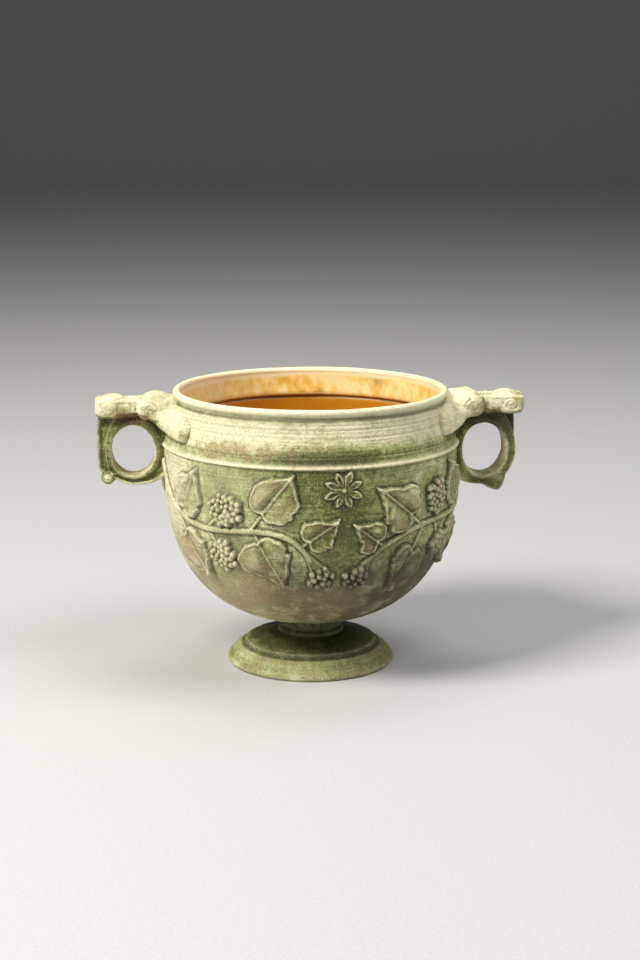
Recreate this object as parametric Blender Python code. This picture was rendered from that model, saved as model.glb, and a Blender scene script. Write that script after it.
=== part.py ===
"""A footed drinking cup with two ring handles (a skyphos), moulded in clay, lead-glazed and fired as one piece.

Metres, +Z up. The origin is the middle of the foot's resting ring. The handles lie along X, and the frieze's two
sprays of ivy face -Y and +Y. The cup is one closed solid: its lathe-turned wall, the applied frieze and the
handles are joined by one Boolean union.
"""

import math
from typing import NamedTuple

import bmesh
import bpy
from mathutils import Matrix, Vector

# Rim and neck
CUP_HEIGHT = 0.1250
RIM_SETBACK = 0.0042
RIM_THICKNESS = 0.0031
RIM_ROLL_HEIGHT = 0.0030
RIM_GROOVE_DEPTH = 0.0012
RIM_BAND_HEIGHT = 0.0125
LEDGE_STEP = 0.0013
NECK_SETBACK = 0.0006
NECK_HOLLOW = 0.0006

# Bowl
RIDGE_DROP = 0.0236
RIDGE_PROUD = 0.0010
RIDGE_HEIGHT = 0.0042
BOWL_RADIUS = 0.0652
BOWL_FULLNESS = 2.5
UPRIGHT_WALL = 0.0094
WALL_THICKNESS = 0.0040
FLOOR_THICKNESS = 0.0050

# Foot
FOOT_RADIUS = 0.0377
FOOT_EDGE_HEIGHT = 0.0022
FOOT_FLANGE_WIDTH = 0.0079
FOOT_STEP_TOP = 0.0100
FOOT_STEP_HEIGHT = 0.0020
FOOT_RESTING_WIDTH = 0.0040
FOOT_HOLLOW_DEPTH = 0.0090
STEM_RADIUS = 0.0132
STEM_HEIGHT = 0.0070
STEM_BEAD_PROUD = 0.0016
STEM_BEAD_HEIGHT = 0.0022
STEM_BASE_RISE = 0.0035

# Handles
PLATE_DROP = 0.0038
PLATE_THICKNESS = 0.0058
PLATE_ROOT_WIDTH = 0.0180
PLATE_WAIST_WIDTH = 0.0120
PLATE_TIP_WIDTH = 0.0186
PLATE_OVERHANG = 0.0020
SCROLL_RADIUS = 0.0043
KNOB_RADIUS = 0.0036
RING_WIDTH = 0.0146
RING_BAND = 0.0051
RING_OVER_BAND = 0.0063
RING_UNDER_BAND = 0.0037
RING_ROOT = 0.0022
RING_HOLE_WIDTH = 0.0194
RING_HOLE_HEIGHT = 0.0232
RING_LAP = 0.0022
ARM_SPAN_DEGREES = 31.0
ARM_OVERLAP_DEGREES = 14.0
ARM_ROOT_HEIGHT = 0.0084
ARM_END_HEIGHT = 0.0112
ARM_ROOT_PROUD = 0.0118
ARM_END_PROUD = 0.0034
ARM_SUNK = 0.0022
ARM_ROOT_DROP = 0.0075
ARM_END_DROP = 0.0130
ARM_BLUNTNESS = 4.0

# Frieze
SPRAY_MIDDLE_DEGREES = 8.0
SINK = 0.0013
LEAF_RELIEF = 0.0017
LEAF_VALLEY = 0.0008
LEAF_BREADTH = 0.86
PETAL_RELIEF = 0.0013
PETAL_VALLEY = 0.0004
PETAL_BREADTH = 0.54
VINE_RADIUS = 0.0010
VINE_STEPS = 8
STALK_RADIUS = 0.0007
BERRY_RADIUS = 0.00165
BERRY_RELIEF = 0.0018
BERRY_SIDES = 5
BERRY_TOP_SHARE = 0.45
GOLDEN_ANGLE = math.pi * (3 - math.sqrt(5))
# The two sprays, as (turn in degrees, share of the berries): the second, at the back, is a little plainer.
SPRAYS = ((0.0, 1.0), (180.0, 0.7))
ROSETTE_PETALS = 8
ROSETTE_RADIUS = 0.0083
ROSETTE_DEPTH = 0.114

# Facets
TURNS = 36
GLAZE_GREEN = (0.24, 0.29, 0.11, 1.0)
GLAZE_ROUGHNESS = 0.75

RIDGE_Z = CUP_HEIGHT - RIDGE_DROP
SHOULDER_Z = RIDGE_Z - UPRIGHT_WALL
STEM_BASE_Z = FOOT_STEP_TOP + STEM_BASE_RISE
BOWL_BOTTOM_Z = STEM_BASE_Z + STEM_HEIGHT
PLATE_TOP_Z = CUP_HEIGHT - PLATE_DROP
PLATE_UNDER_Z = PLATE_TOP_Z - PLATE_THICKNESS
BOWL_DEPTH = RIDGE_Z - BOWL_BOTTOM_Z
RIM_RADIUS = BOWL_RADIUS - RIM_SETBACK
RIDGE_RADIUS = BOWL_RADIUS + RIDGE_PROUD
FOOT_STEP_RADIUS = FOOT_RADIUS - FOOT_FLANGE_WIDTH
PLATE_TIP_X = RIDGE_RADIUS + RING_ROOT + RING_HOLE_WIDTH + RING_BAND + PLATE_OVERHANG

# Half of an ivy leaf's and a petal's outline, base to tip, as (share of its length, share of its width).
HALF_LEAF = ((0.0, 0.05), (-0.06, 0.30), (0.24, 0.50), (0.66, 0.27))
HALF_PETAL = ((0.10, 0.15), (0.62, 0.50))


class Leaf(NamedTuple):
    """A leaf on a vine: where it springs, up (1) or down (-1), its stalk, its length and its lean in degrees."""

    at: float
    side: int
    stalk: float
    length: float
    lean: float


class Corymb(NamedTuple):
    """A cluster of berries on a vine: where and to which side it springs, its stalk, lean, size and berries."""

    at: float
    side: int
    stalk: float
    lean: float
    half_width: float
    half_height: float
    berries: int


class Vine(NamedTuple):
    """A vine of the spray. Its path holds the four poles of a Bezier curve, from the handle to the middle.

    A pole is an azimuth in degrees from the spray's middle and a depth below the ridge, as a share of the bowl's.
    Leaves and corymbs spring from a share of the curve's run, and lean its way along the wall.
    """

    way: int
    path: tuple
    leaves: tuple
    corymbs: tuple


class Handle(NamedTuple):
    """A handle's side of the cup and how its hand-made ring and arms differ from the common sizes.

    hole, root, band, over_band, width and arm_drop are shares of the constants of the same names. Squareness is that
    of the ring's lower outer corner, and the spur stands out of the ring's lower edge.
    """

    name: str
    side: int
    hole: tuple
    root: float
    band: float
    over_band: float
    width: float
    arm_drop: float
    squareness: float
    spur_degrees: float
    spur_proud: float


VINES = (
    Vine(
        way=1,
        path=((-90, 0.136), (-62, 0.556), (-25, 0.136), (-13, 0.482)),
        leaves=(
            Leaf(0.20, 1, 0.0043, 0.0209, 55), Leaf(0.20, -1, 0.0096, 0.0224, 56), Leaf(0.63, 1, 0.0060, 0.0240, 54),
            Leaf(0.63, -1, 0.0045, 0.0228, 58), Leaf(0.90, 1, 0.0045, 0.0176, 36),
        ),
        corymbs=(
            Corymb(0.39, 1, 0.0138, 46, 0.0066, 0.0066, 10), Corymb(0.40, -1, 0.0114, 62, 0.0060, 0.0070, 11),
            Corymb(1.0, -1, 0.0106, 54, 0.0052, 0.0052, 7),
        ),
    ),
    Vine(
        way=-1,
        path=((78, 0.167), (60, 0.457), (42, 0.235), (13, 0.490)),
        leaves=(
            Leaf(0.25, 1, 0.0060, 0.0211, 57), Leaf(0.25, -1, 0.0070, 0.0210, 60), Leaf(0.70, 1, 0.0105, 0.0220, 37),
            Leaf(0.70, -1, 0.0104, 0.0208, 60), Leaf(0.93, 1, 0.0070, 0.0145, 38),
        ),
        corymbs=(
            Corymb(0.55, 1, 0.0104, 57, 0.0064, 0.0062, 10), Corymb(0.58, -1, 0.0118, 109, 0.0070, 0.0056, 10),
            Corymb(1.0, -1, 0.0099, 45, 0.0056, 0.0050, 7),
        ),
    ),
)
HANDLES = (
    Handle(
        "right", 1, hole=(1.01, 1.026), root=0.64, band=0.82, over_band=1.07, width=1.08, arm_drop=0.92,
        squareness=2.0, spur_degrees=-70.0, spur_proud=0.0045,
    ),
    Handle(
        "left", -1, hole=(0.985, 0.974), root=1.34, band=1.18, over_band=0.92, width=0.92, arm_drop=1.06,
        squareness=2.9, spur_degrees=-47.0, spur_proud=0.0025,
    ),
)
SPUR_HALF_DEGREES = 22.0
WEB_SQUARENESS = 3.2
ROOT_SQUARENESS = 2.8
RING_STEPS = 24


def bowl_radius(height: float) -> float:
    """Outer radius of the bowl at a height: a superellipse below the shoulder and upright above it."""
    drop = min(max((SHOULDER_Z - height) / (SHOULDER_Z - BOWL_BOTTOM_Z), 0.0), 1.0)
    return BOWL_RADIUS * (1 - drop**BOWL_FULLNESS) ** (1 / BOWL_FULLNESS)


def inner_radius(height: float) -> float:
    """Inner radius of the bowl at a height, a wall's thickness inside the outer one."""
    floor_z = BOWL_BOTTOM_Z + FLOOR_THICKNESS
    drop = min(max((SHOULDER_Z - height) / (SHOULDER_Z - floor_z), 0.0), 1.0)
    return (BOWL_RADIUS - WALL_THICKNESS) * (1 - drop**BOWL_FULLNESS) ** (1 / BOWL_FULLNESS)


def neck_radius(height: float) -> float:
    """Outer radius of the neck, slightly hollow, from the ridge up to the groove under the rim."""
    bottom, top = RIDGE_Z + RIDGE_HEIGHT, CUP_HEIGHT - RIM_ROLL_HEIGHT
    share = min(max((height - bottom) / (top - bottom), 0.0), 1.0)
    top_radius, bottom_radius = RIM_RADIUS - RIM_GROOVE_DEPTH / 2, BOWL_RADIUS - NECK_SETBACK
    return bottom_radius + (top_radius - bottom_radius) * share - NECK_HOLLOW * math.sin(math.pi * share)


def on_curve(radius_at, low: float, high: float, count: int) -> list:
    """Points of a turned curve from low to high, closer together where it is flatter, at the bottom."""
    heights = [low + (high - low) * (1 - math.cos(math.pi / 2 * i / (count - 1))) for i in range(count)]
    return [(radius_at(z), z) for z in heights]


def cup_profile() -> list:
    """The cup's section as (radius, height), from the middle of the inner floor over the rim to the underside."""
    floor_z = BOWL_BOTTOM_Z + FLOOR_THICKNESS
    ledge_z = CUP_HEIGHT - RIM_BAND_HEIGHT
    inside = on_curve(inner_radius, floor_z, SHOULDER_Z, 7)
    under_ledge = neck_radius(ledge_z) - WALL_THICKNESS
    rim_inside = RIM_RADIUS - RIM_THICKNESS
    roll = RIM_ROLL_HEIGHT
    rim = [
        (under_ledge, ledge_z - LEDGE_STEP),
        (under_ledge - LEDGE_STEP, ledge_z),
        (rim_inside, CUP_HEIGHT - roll / 2),
        (rim_inside + RIM_THICKNESS * 0.45, CUP_HEIGHT),
        (RIM_RADIUS, CUP_HEIGHT - roll * 0.4),
        (RIM_RADIUS - RIM_GROOVE_DEPTH, CUP_HEIGHT - roll * 1.25),
    ]
    neck_low, neck_high = RIDGE_Z + RIDGE_HEIGHT, CUP_HEIGHT - roll * 1.6
    neck = [(neck_radius(z), z) for z in (neck_high, (neck_low + neck_high) / 2, neck_low)]
    ridge = [(RIDGE_RADIUS, RIDGE_Z + RIDGE_HEIGHT * 0.1), (RIDGE_RADIUS - RIDGE_PROUD / 3, RIDGE_Z - RIDGE_PROUD)]
    outside = on_curve(bowl_radius, BOWL_BOTTOM_Z, RIDGE_Z - 2 * RIDGE_PROUD, 10)[::-1]
    outside = [p for p in outside if p[0] > STEM_RADIUS * 1.3]
    bead = STEM_BEAD_HEIGHT
    foot_rise = FOOT_STEP_TOP - FOOT_STEP_HEIGHT
    stem = [
        (STEM_RADIUS * 1.06, BOWL_BOTTOM_Z + BOWL_BOTTOM_Z * 0.01),
        (STEM_RADIUS, STEM_BASE_Z + bead),
        (STEM_RADIUS + STEM_BEAD_PROUD, STEM_BASE_Z + bead / 2),
        (STEM_RADIUS + STEM_BEAD_PROUD, STEM_BASE_Z),
    ]
    step_edge = FOOT_STEP_HEIGHT * 0.35
    foot = [
        (FOOT_STEP_RADIUS - step_edge, FOOT_STEP_TOP),
        (FOOT_STEP_RADIUS, FOOT_STEP_TOP - step_edge),
        (FOOT_STEP_RADIUS + step_edge, foot_rise),
        ((FOOT_STEP_RADIUS + FOOT_RADIUS) / 2, foot_rise * 0.78),
        (FOOT_RADIUS - FOOT_EDGE_HEIGHT * 0.15, FOOT_EDGE_HEIGHT),
        (FOOT_RADIUS, FOOT_EDGE_HEIGHT * 0.5),
        (FOOT_RADIUS - FOOT_EDGE_HEIGHT * 0.4, 0.0),
    ]
    rest_inside = FOOT_RADIUS - FOOT_EDGE_HEIGHT * 0.4 - FOOT_RESTING_WIDTH
    underside = [
        (rest_inside, 0.0),
        (rest_inside - FOOT_HOLLOW_DEPTH * 0.2, FOOT_HOLLOW_DEPTH * 0.32),
        (rest_inside * 0.5, FOOT_HOLLOW_DEPTH * 0.9),
        (0.0, FOOT_HOLLOW_DEPTH),
    ]
    return inside + rim + neck + ridge + outside + stem + foot + underside


def new_object(name: str, bm: bmesh.types.BMesh):
    """An object with this mesh, its faces pointing out, linked to the scene."""
    bmesh.ops.recalc_face_normals(bm, faces=bm.faces)
    if bm.calc_volume(signed=True) < 0:
        bmesh.ops.reverse_faces(bm, faces=bm.faces)
    mesh = bpy.data.meshes.new(name)
    bm.to_mesh(mesh)
    bm.free()
    made = bpy.data.objects.new(name, mesh)
    bpy.context.scene.collection.objects.link(made)
    return made


def turned_cup(name: str):
    """The lathe-turned cup: its section spun about Z."""
    bm = bmesh.new()
    points = [bm.verts.new((radius, 0.0, height)) for radius, height in cup_profile()]
    edges = [bm.edges.new(pair) for pair in zip(points, points[1:])]
    bmesh.ops.spin(
        bm, geom=points + edges, cent=(0, 0, 0), axis=(0, 0, 1), angle=2 * math.pi, steps=TURNS, use_merge=True
    )
    bmesh.ops.remove_doubles(bm, verts=bm.verts, dist=1e-6)
    return new_object(name, bm)


def on_wall(place: tuple, lift: float = 0.0) -> Vector:
    """The point over the bowl's wall at a place (azimuth in degrees from -Y to +X, drop in metres below the ridge)."""
    azimuth, drop = place
    height, step = RIDGE_Z - drop, WALL_THICKNESS / 20
    slope = (bowl_radius(height + step) - bowl_radius(height - step)) / (2 * step)
    out = Vector((1.0, -slope)).normalized() * lift
    angle, radius = math.radians(azimuth), bowl_radius(height) + out.x
    return Vector((radius * math.sin(angle), -radius * math.cos(angle), height + out.y))


def wall_offset(place: tuple, right: float, up: float) -> tuple:
    """The place that lies a distance right and up of another, measured on the wall."""
    drop = place[1] - up
    return place[0] + math.degrees(right / bowl_radius(RIDGE_Z - drop)), drop


def blade(name: str, start: tuple, base: tuple, tip: tuple, breadth: float, half: tuple, relief: float, valley: float):
    """A leaf or petal laid on the wall: its outline raised from inside the wall, with a valley down its middle.

    The outline's first point is the start of the stalk, which may lie off the line from base to tip.
    """
    radius = bowl_radius(RIDGE_Z - (base[1] + tip[1]) / 2)
    along = Vector((math.radians(tip[0] - base[0]) * radius, base[1] - tip[1]))
    across = Vector((-along.y, along.x)) * breadth
    stalk = Vector((math.radians(start[0] - base[0]) * radius, base[1] - start[1]))
    root = (stalk.dot(along) / along.length_squared, stalk.dot(across) / across.length_squared)
    bm = bmesh.new()
    shares = [root, *half, (1.0, 0.0), *((t, -w) for t, w in reversed(half))]
    bm.faces.new([bm.verts.new((t, w, 0.0)) for t, w in shares])
    raised = bmesh.ops.extrude_face_region(bm, geom=bm.faces[:], use_keep_orig=True)["geom"]
    bmesh.ops.translate(bm, vec=(0, 0, relief), verts=[v for v in raised if isinstance(v, bmesh.types.BMVert)])

    def top_vert(share, half_width):
        raised_verts = (v for v in bm.verts if v.co.z > 0)
        return min(raised_verts, key=lambda v: (v.co.xy - Vector((share, half_width))).length)

    def halved(first, last):
        edge = bmesh.ops.connect_verts(bm, verts=(first, last))["edges"]
        middle = bmesh.ops.subdivide_edges(bm, edges=edge, cuts=1)["geom_inner"]
        return next(v for v in middle if isinstance(v, bmesh.types.BMVert))

    neck = halved(top_vert(*half[0]), top_vert(half[0][0], -half[0][1]))
    halved(neck, top_vert(1.0, 0.0)).co.z = relief - valley
    bmesh.ops.triangulate(bm, faces=bm.faces)
    for vert in bm.verts:
        offset = along * vert.co.x + across * vert.co.y
        vert.co = on_wall(wall_offset(base, *offset), vert.co.z if vert.co.z > 0 else -SINK)
    return new_object(name, bm)


def berry(name: str, place: tuple):
    """A berry: a short faceted dome standing on the wall."""
    bm = bmesh.new()
    bmesh.ops.create_cone(
        bm, cap_ends=True, segments=BERRY_SIDES, radius1=BERRY_RADIUS, radius2=BERRY_RADIUS * BERRY_TOP_SHARE,
        depth=SINK + BERRY_RELIEF,
    )
    foot, top = on_wall(place, -SINK), on_wall(place, BERRY_RELIEF)
    turn = (top - foot).to_track_quat("Z", "Y").to_matrix().to_4x4()
    bmesh.ops.transform(bm, matrix=Matrix.Translation((foot + top) / 2) @ turn, verts=bm.verts)
    return new_object(name, bm)


def runner(name: str, places: list, radius: float):
    """A vine or stalk: a four-sided tube along the wall, half sunk in it."""
    curve = bpy.data.curves.new(name, "CURVE")
    curve.dimensions = "3D"
    curve.bevel_depth = radius
    curve.bevel_resolution = 0
    curve.use_fill_caps = True
    spline = curve.splines.new("POLY")
    spline.points.add(len(places) - 1)
    for point, place in zip(spline.points, places):
        point.co = (*on_wall(place, radius / 3), 1.0)
    guide = bpy.data.objects.new(name, curve)
    bpy.context.scene.collection.objects.link(guide)
    bm = bmesh.new()
    bm.from_mesh(bpy.data.meshes.new_from_object(guide))
    bpy.data.objects.remove(guide)
    bmesh.ops.remove_doubles(bm, verts=bm.verts, dist=1e-6)
    return new_object(name, bm)


def on_vine(vine: Vine, at: float, turn: float) -> tuple:
    """The place at a share of a vine's Bezier curve, in a spray turned round the cup."""
    weights = ((1 - at) ** 3, 3 * at * (1 - at) ** 2, 3 * at**2 * (1 - at), at**3)
    azimuth, depth = (sum(w * pole[i] for w, pole in zip(weights, vine.path)) for i in (0, 1))
    return azimuth + turn, depth * BOWL_DEPTH


def leaned(vine: Vine, start: tuple, reach: float, sprig) -> tuple:
    """The place a reach away from start, in the direction that a leaf or corymb leans."""
    lean = math.radians(sprig.lean)
    return wall_offset(start, vine.way * reach * math.cos(lean), sprig.side * reach * math.sin(lean))


def vine_shapes(vine: Vine, turn: float, fullness: float) -> list:
    """A vine with its leaves, and its corymbs on their stalks."""
    run = [on_vine(vine, i / VINE_STEPS, turn) for i in range(VINE_STEPS + 1)]
    made = [runner("vine", run, VINE_RADIUS)]
    for leaf in vine.leaves:
        start = on_vine(vine, leaf.at, turn)
        base = leaned(vine, start, leaf.stalk, leaf)
        tip = leaned(vine, base, leaf.length, leaf)
        made.append(blade("leaf", start, base, tip, LEAF_BREADTH, HALF_LEAF, LEAF_RELIEF, LEAF_VALLEY))
    for corymb in vine.corymbs:
        start = on_vine(vine, corymb.at, turn)
        made.append(runner("stalk", [start, leaned(vine, start, corymb.stalk / 2, corymb)], STALK_RADIUS))
        middle = leaned(vine, start, corymb.stalk, corymb)
        made += corymb_berries(middle, corymb, round(corymb.berries * fullness))
    return made


def corymb_berries(middle: tuple, corymb: Corymb, count: int) -> list:
    """A rounded cluster of berries, set out on a spiral of golden angles."""
    berries = []
    for i in range(count):
        share, angle = math.sqrt((i + 0.5) / count), GOLDEN_ANGLE * i
        right, up = corymb.half_width * share * math.cos(angle), corymb.half_height * share * math.sin(angle)
        berries.append(berry("berry", wall_offset(middle, right, up)))
    return berries


def rosette(middle: tuple) -> list:
    """A flower of pointed petals round a knob."""
    made = [berry("rosette_knob", middle)]
    for i in range(ROSETTE_PETALS):
        angle = 2 * math.pi * (i + 0.5) / ROSETTE_PETALS
        inner, outer = (
            wall_offset(middle, math.cos(angle) * reach, math.sin(angle) * reach)
            for reach in (BERRY_RADIUS, ROSETTE_RADIUS)
        )
        made.append(blade("petal", inner, inner, outer, PETAL_BREADTH, HALF_PETAL, PETAL_RELIEF, PETAL_VALLEY))
    return made


def spray(turn: float, fullness: float) -> list:
    """One side's ivy: two vines that meet in the middle, below a rosette."""
    shapes = [shape for vine in VINES for shape in vine_shapes(vine, turn, fullness)]
    return shapes + rosette((turn, ROSETTE_DEPTH * BOWL_DEPTH))


def ring_middle(handle: Handle) -> tuple:
    """The middle of the ring's hole, as a distance from the cup's axis and a height."""
    half_width, half_height = RING_HOLE_WIDTH * handle.hole[0] / 2, RING_HOLE_HEIGHT * handle.hole[1] / 2
    over = RING_OVER_BAND * handle.over_band
    return RIDGE_RADIUS + RING_ROOT * handle.root + half_width, PLATE_UNDER_Z - over - half_height


def ring_outline(angle: float, handle: Handle) -> float:
    """Outer radius of a handle's ring at an angle in its own plane, with its spur.

    It is squared where its foot is sunk in the wall, and more where a web fills the corner under the thumb plate.
    """
    outward, upward = math.cos(angle) > 0, math.sin(angle) > 0
    if upward:
        power = WEB_SQUARENESS if outward else 2.0
    else:
        power = handle.squareness if outward else ROOT_SQUARENESS
    root = RING_ROOT * handle.root + RING_LAP
    over = RING_OVER_BAND * handle.over_band + RING_LAP
    wide = RING_HOLE_WIDTH * handle.hole[0] / 2 + (RING_BAND * handle.band if outward else root)
    tall = RING_HOLE_HEIGHT * handle.hole[1] / 2 + (over if upward else RING_UNDER_BAND)
    terms = abs(math.cos(angle) / wide) ** power + abs(math.sin(angle) / tall) ** power
    away = abs(math.remainder(angle - math.radians(handle.spur_degrees), 2 * math.pi))
    return terms ** (-1 / power) + handle.spur_proud * max(0.0, 1 - math.degrees(away) / SPUR_HALF_DEGREES)


def handle_ring(handle: Handle):
    """The finger ring: a flat ring standing in the XZ plane, rooted in the wall and under the thumb plate."""
    bm = bmesh.new()
    outer = bmesh.ops.create_circle(bm, segments=RING_STEPS, radius=1.0)["verts"]
    inner = bmesh.ops.create_circle(bm, segments=RING_STEPS, radius=1.0)["verts"]
    spur_angle = math.radians(handle.spur_degrees)
    for vert in outer:
        angle = math.atan2(vert.co.y, vert.co.x) + spur_angle
        vert.co = Vector((math.cos(angle), math.sin(angle), 0.0)) * ring_outline(angle, handle)
    for vert in inner:
        angle = math.atan2(vert.co.y, vert.co.x) + spur_angle
        half_width, half_height = RING_HOLE_WIDTH * handle.hole[0] / 2, RING_HOLE_HEIGHT * handle.hole[1] / 2
        vert.co = Vector((math.cos(angle) * half_width, math.sin(angle) * half_height, 0.0))
    bmesh.ops.bridge_loops(bm, edges=bm.edges)
    faces = bmesh.ops.extrude_face_region(bm, geom=bm.faces, use_keep_orig=True)["geom"]
    raised = [v for v in faces if isinstance(v, bmesh.types.BMVert)]
    width = RING_WIDTH * handle.width
    bmesh.ops.translate(bm, vec=(0, 0, width), verts=raised)
    middle_x, middle_z = ring_middle(handle)
    for vert in bm.verts:
        x, z, y = vert.co
        vert.co = Vector((handle.side * (middle_x + x), y - width / 2, middle_z + z))
    return new_object(f"ring_{handle.name}", bm)


def thumb_plate(handle: Handle):
    """The flat thumb plate over the ring, waisted between its root and its scrolled tip."""
    root_x = neck_radius(PLATE_TOP_Z) - WALL_THICKNESS / 2
    reach = PLATE_TIP_X - root_x
    halves = (
        (0.0, PLATE_ROOT_WIDTH / 2),
        (0.34, PLATE_ROOT_WIDTH / 2),
        (0.50, PLATE_WAIST_WIDTH / 2),
        (0.72, PLATE_WAIST_WIDTH / 2),
        (0.88, PLATE_TIP_WIDTH / 2),
        (0.97, PLATE_TIP_WIDTH / 2),
        (1.0, PLATE_TIP_WIDTH / 3),
    )
    bm = bmesh.new()
    outline = [bm.verts.new((root_x + reach * t, half, PLATE_UNDER_Z)) for t, half in halves]
    outline += [bm.verts.new((v.co.x, -v.co.y, v.co.z)) for v in reversed(outline)]
    under = bm.faces.new(outline)
    top = bmesh.ops.extrude_face_region(bm, geom=[under], use_keep_orig=True)["geom"]
    raised = [v for v in top if isinstance(v, bmesh.types.BMVert)]
    bmesh.ops.translate(bm, vec=(0, 0, PLATE_THICKNESS), verts=raised)
    bmesh.ops.triangulate(bm, faces=bm.faces)
    bmesh.ops.scale(bm, vec=(handle.side, 1, 1), verts=bm.verts)
    return new_object(f"plate_{handle.name}", bm)


def lump(name: str, centre: Vector, size: Vector, across: int, down: int):
    """A rounded lump of clay: a stretched sphere of few facets."""
    bm = bmesh.new()
    bmesh.ops.create_uvsphere(bm, u_segments=across, v_segments=down, radius=1.0)
    bmesh.ops.scale(bm, vec=size, verts=bm.verts)
    bmesh.ops.translate(bm, vec=centre, verts=bm.verts)
    return new_object(name, bm)


def tip_scroll(handle: Handle):
    """The scroll that thickens the plate's tip, rolled across it."""
    bm = bmesh.new()
    bmesh.ops.create_cone(
        bm, cap_ends=True, segments=10, radius1=SCROLL_RADIUS, radius2=SCROLL_RADIUS, depth=PLATE_TIP_WIDTH * 1.04
    )
    place = Vector((PLATE_TIP_X - SCROLL_RADIUS * 1.12, 0.0, PLATE_TOP_Z + PLATE_THICKNESS * 0.15 - SCROLL_RADIUS))
    bmesh.ops.transform(bm, matrix=Matrix.Translation(place) @ Matrix.Rotation(math.pi / 2, 4, "X"), verts=bm.verts)
    bmesh.ops.scale(bm, vec=(handle.side, 1, 1), verts=bm.verts)
    return new_object(f"scroll_{handle.name}", bm)


def side_arm(handle: Handle, way: int):
    """A side arm: a long lobe that hugs the neck from the plate's root and slants down to its end."""
    bm = bmesh.new()
    bmesh.ops.create_uvsphere(bm, u_segments=7, v_segments=7, radius=1.0)
    bmesh.ops.rotate(bm, matrix=Matrix.Rotation(math.pi / 2, 3, "Y"), verts=bm.verts)
    for vert in bm.verts:
        along, out, up = vert.co
        section = math.hypot(out, up)
        swell = (1 - min(abs(along), 1.0) ** ARM_BLUNTNESS) ** (1 / ARM_BLUNTNESS) / section if section > 1e-4 else 0.0
        degrees = (ARM_SPAN_DEGREES + ARM_OVERLAP_DEGREES) * (along + 1) / 2 - ARM_OVERLAP_DEGREES
        share = max(degrees, 0.0) / ARM_SPAN_DEGREES
        half_height = (ARM_ROOT_HEIGHT + (ARM_END_HEIGHT - ARM_ROOT_HEIGHT) * share) / 2
        drop = ARM_ROOT_DROP + (ARM_END_DROP * handle.arm_drop - ARM_ROOT_DROP) * share
        height = CUP_HEIGHT - drop + up * swell * half_height
        proud = ARM_ROOT_PROUD + (ARM_END_PROUD - ARM_ROOT_PROUD) * math.sqrt(share)
        radius = neck_radius(height) + out * swell * (proud if out > 0 else ARM_SUNK)
        angle = math.radians(degrees) * way
        vert.co = Vector((handle.side * radius * math.cos(angle), radius * math.sin(angle), height))
    return new_object(f"arm_{handle.name}", bm)


def handle_pieces(handle: Handle) -> list:
    """All the shapes of one handle."""
    side = handle.side
    knob_x = neck_radius(PLATE_TOP_Z) + KNOB_RADIUS * 2.6
    knobs = [
        lump(
            f"knob_{handle.name}",
            Vector((side * knob_x, way * (PLATE_ROOT_WIDTH / 2 - KNOB_RADIUS * 0.1), PLATE_TOP_Z - KNOB_RADIUS * 0.75)),
            Vector((KNOB_RADIUS * 1.25, KNOB_RADIUS, KNOB_RADIUS * 1.2)), 7, 5,
        )
        for way in (-1, 1)
    ]
    arms = [side_arm(handle, way) for way in (-1, 1)]
    return [handle_ring(handle), thumb_plate(handle), tip_scroll(handle), *knobs, *arms]


def glaze_material():
    """The green lead glaze over buff clay."""
    material = bpy.data.materials.new("green_glaze")
    material.use_nodes = True
    shader = material.node_tree.nodes["Principled BSDF"]
    shader.inputs["Base Color"].default_value = GLAZE_GREEN
    shader.inputs["Roughness"].default_value = GLAZE_ROUGHNESS
    shader.inputs["Metallic"].default_value = 0.0
    return material


def main():
    """Clears the scene and joins the cup, its frieze and its handles into one solid."""
    for old in list(bpy.data.objects):
        bpy.data.objects.remove(old)
    cup = turned_cup("skyphos")
    additions = bpy.data.collections.new("additions")
    bpy.context.scene.collection.children.link(additions)
    pieces = [piece for turn, fullness in SPRAYS for piece in spray(SPRAY_MIDDLE_DEGREES + turn, fullness)]
    pieces += [piece for handle in HANDLES for piece in handle_pieces(handle)]
    for piece in pieces:
        bpy.context.scene.collection.objects.unlink(piece)
        additions.objects.link(piece)
        piece.hide_render = True
        piece.display_type = "WIRE"
    joined = cup.modifiers.new("frieze_and_handles", "BOOLEAN")
    joined.operation = "UNION"
    joined.operand_type = "COLLECTION"
    joined.collection = additions
    cup.data.materials.append(glaze_material())
    cup.data.shade_smooth()
    cup.data.set_sharp_from_angle(angle=math.radians(35))


main()
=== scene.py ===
"""Looks of a moulded, lead-glazed skyphos with an ivy frieze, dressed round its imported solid."""

import logging
import math
from dataclasses import dataclass
from enum import Enum

import bmesh
import bpy
import numpy as np
from bmesh.types import BMEdge, BMesh, BMVert
from bpy.types import ID, Material, Mesh, NodeSocket, Object
from mathutils import Matrix, Vector, noise
from numpy import ndarray as Array

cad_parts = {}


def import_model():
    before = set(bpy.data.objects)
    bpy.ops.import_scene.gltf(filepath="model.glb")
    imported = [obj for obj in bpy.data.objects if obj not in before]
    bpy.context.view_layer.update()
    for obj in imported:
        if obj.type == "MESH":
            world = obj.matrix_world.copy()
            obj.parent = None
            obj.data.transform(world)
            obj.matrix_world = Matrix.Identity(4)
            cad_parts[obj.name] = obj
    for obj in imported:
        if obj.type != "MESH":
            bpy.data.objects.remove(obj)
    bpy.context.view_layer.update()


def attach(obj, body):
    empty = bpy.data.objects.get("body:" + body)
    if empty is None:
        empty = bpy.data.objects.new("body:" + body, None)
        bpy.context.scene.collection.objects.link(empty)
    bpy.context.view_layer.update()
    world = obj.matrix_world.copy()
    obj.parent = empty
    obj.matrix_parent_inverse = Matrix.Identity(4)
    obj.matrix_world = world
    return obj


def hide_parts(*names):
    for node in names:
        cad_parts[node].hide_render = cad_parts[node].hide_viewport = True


LOG = logging.getLogger("skyphos")
MM = 0.001
NODE = "skyphos"
BODY = "root"
GOLDEN_ANGLE = math.pi * (3 - math.sqrt(5))
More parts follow.
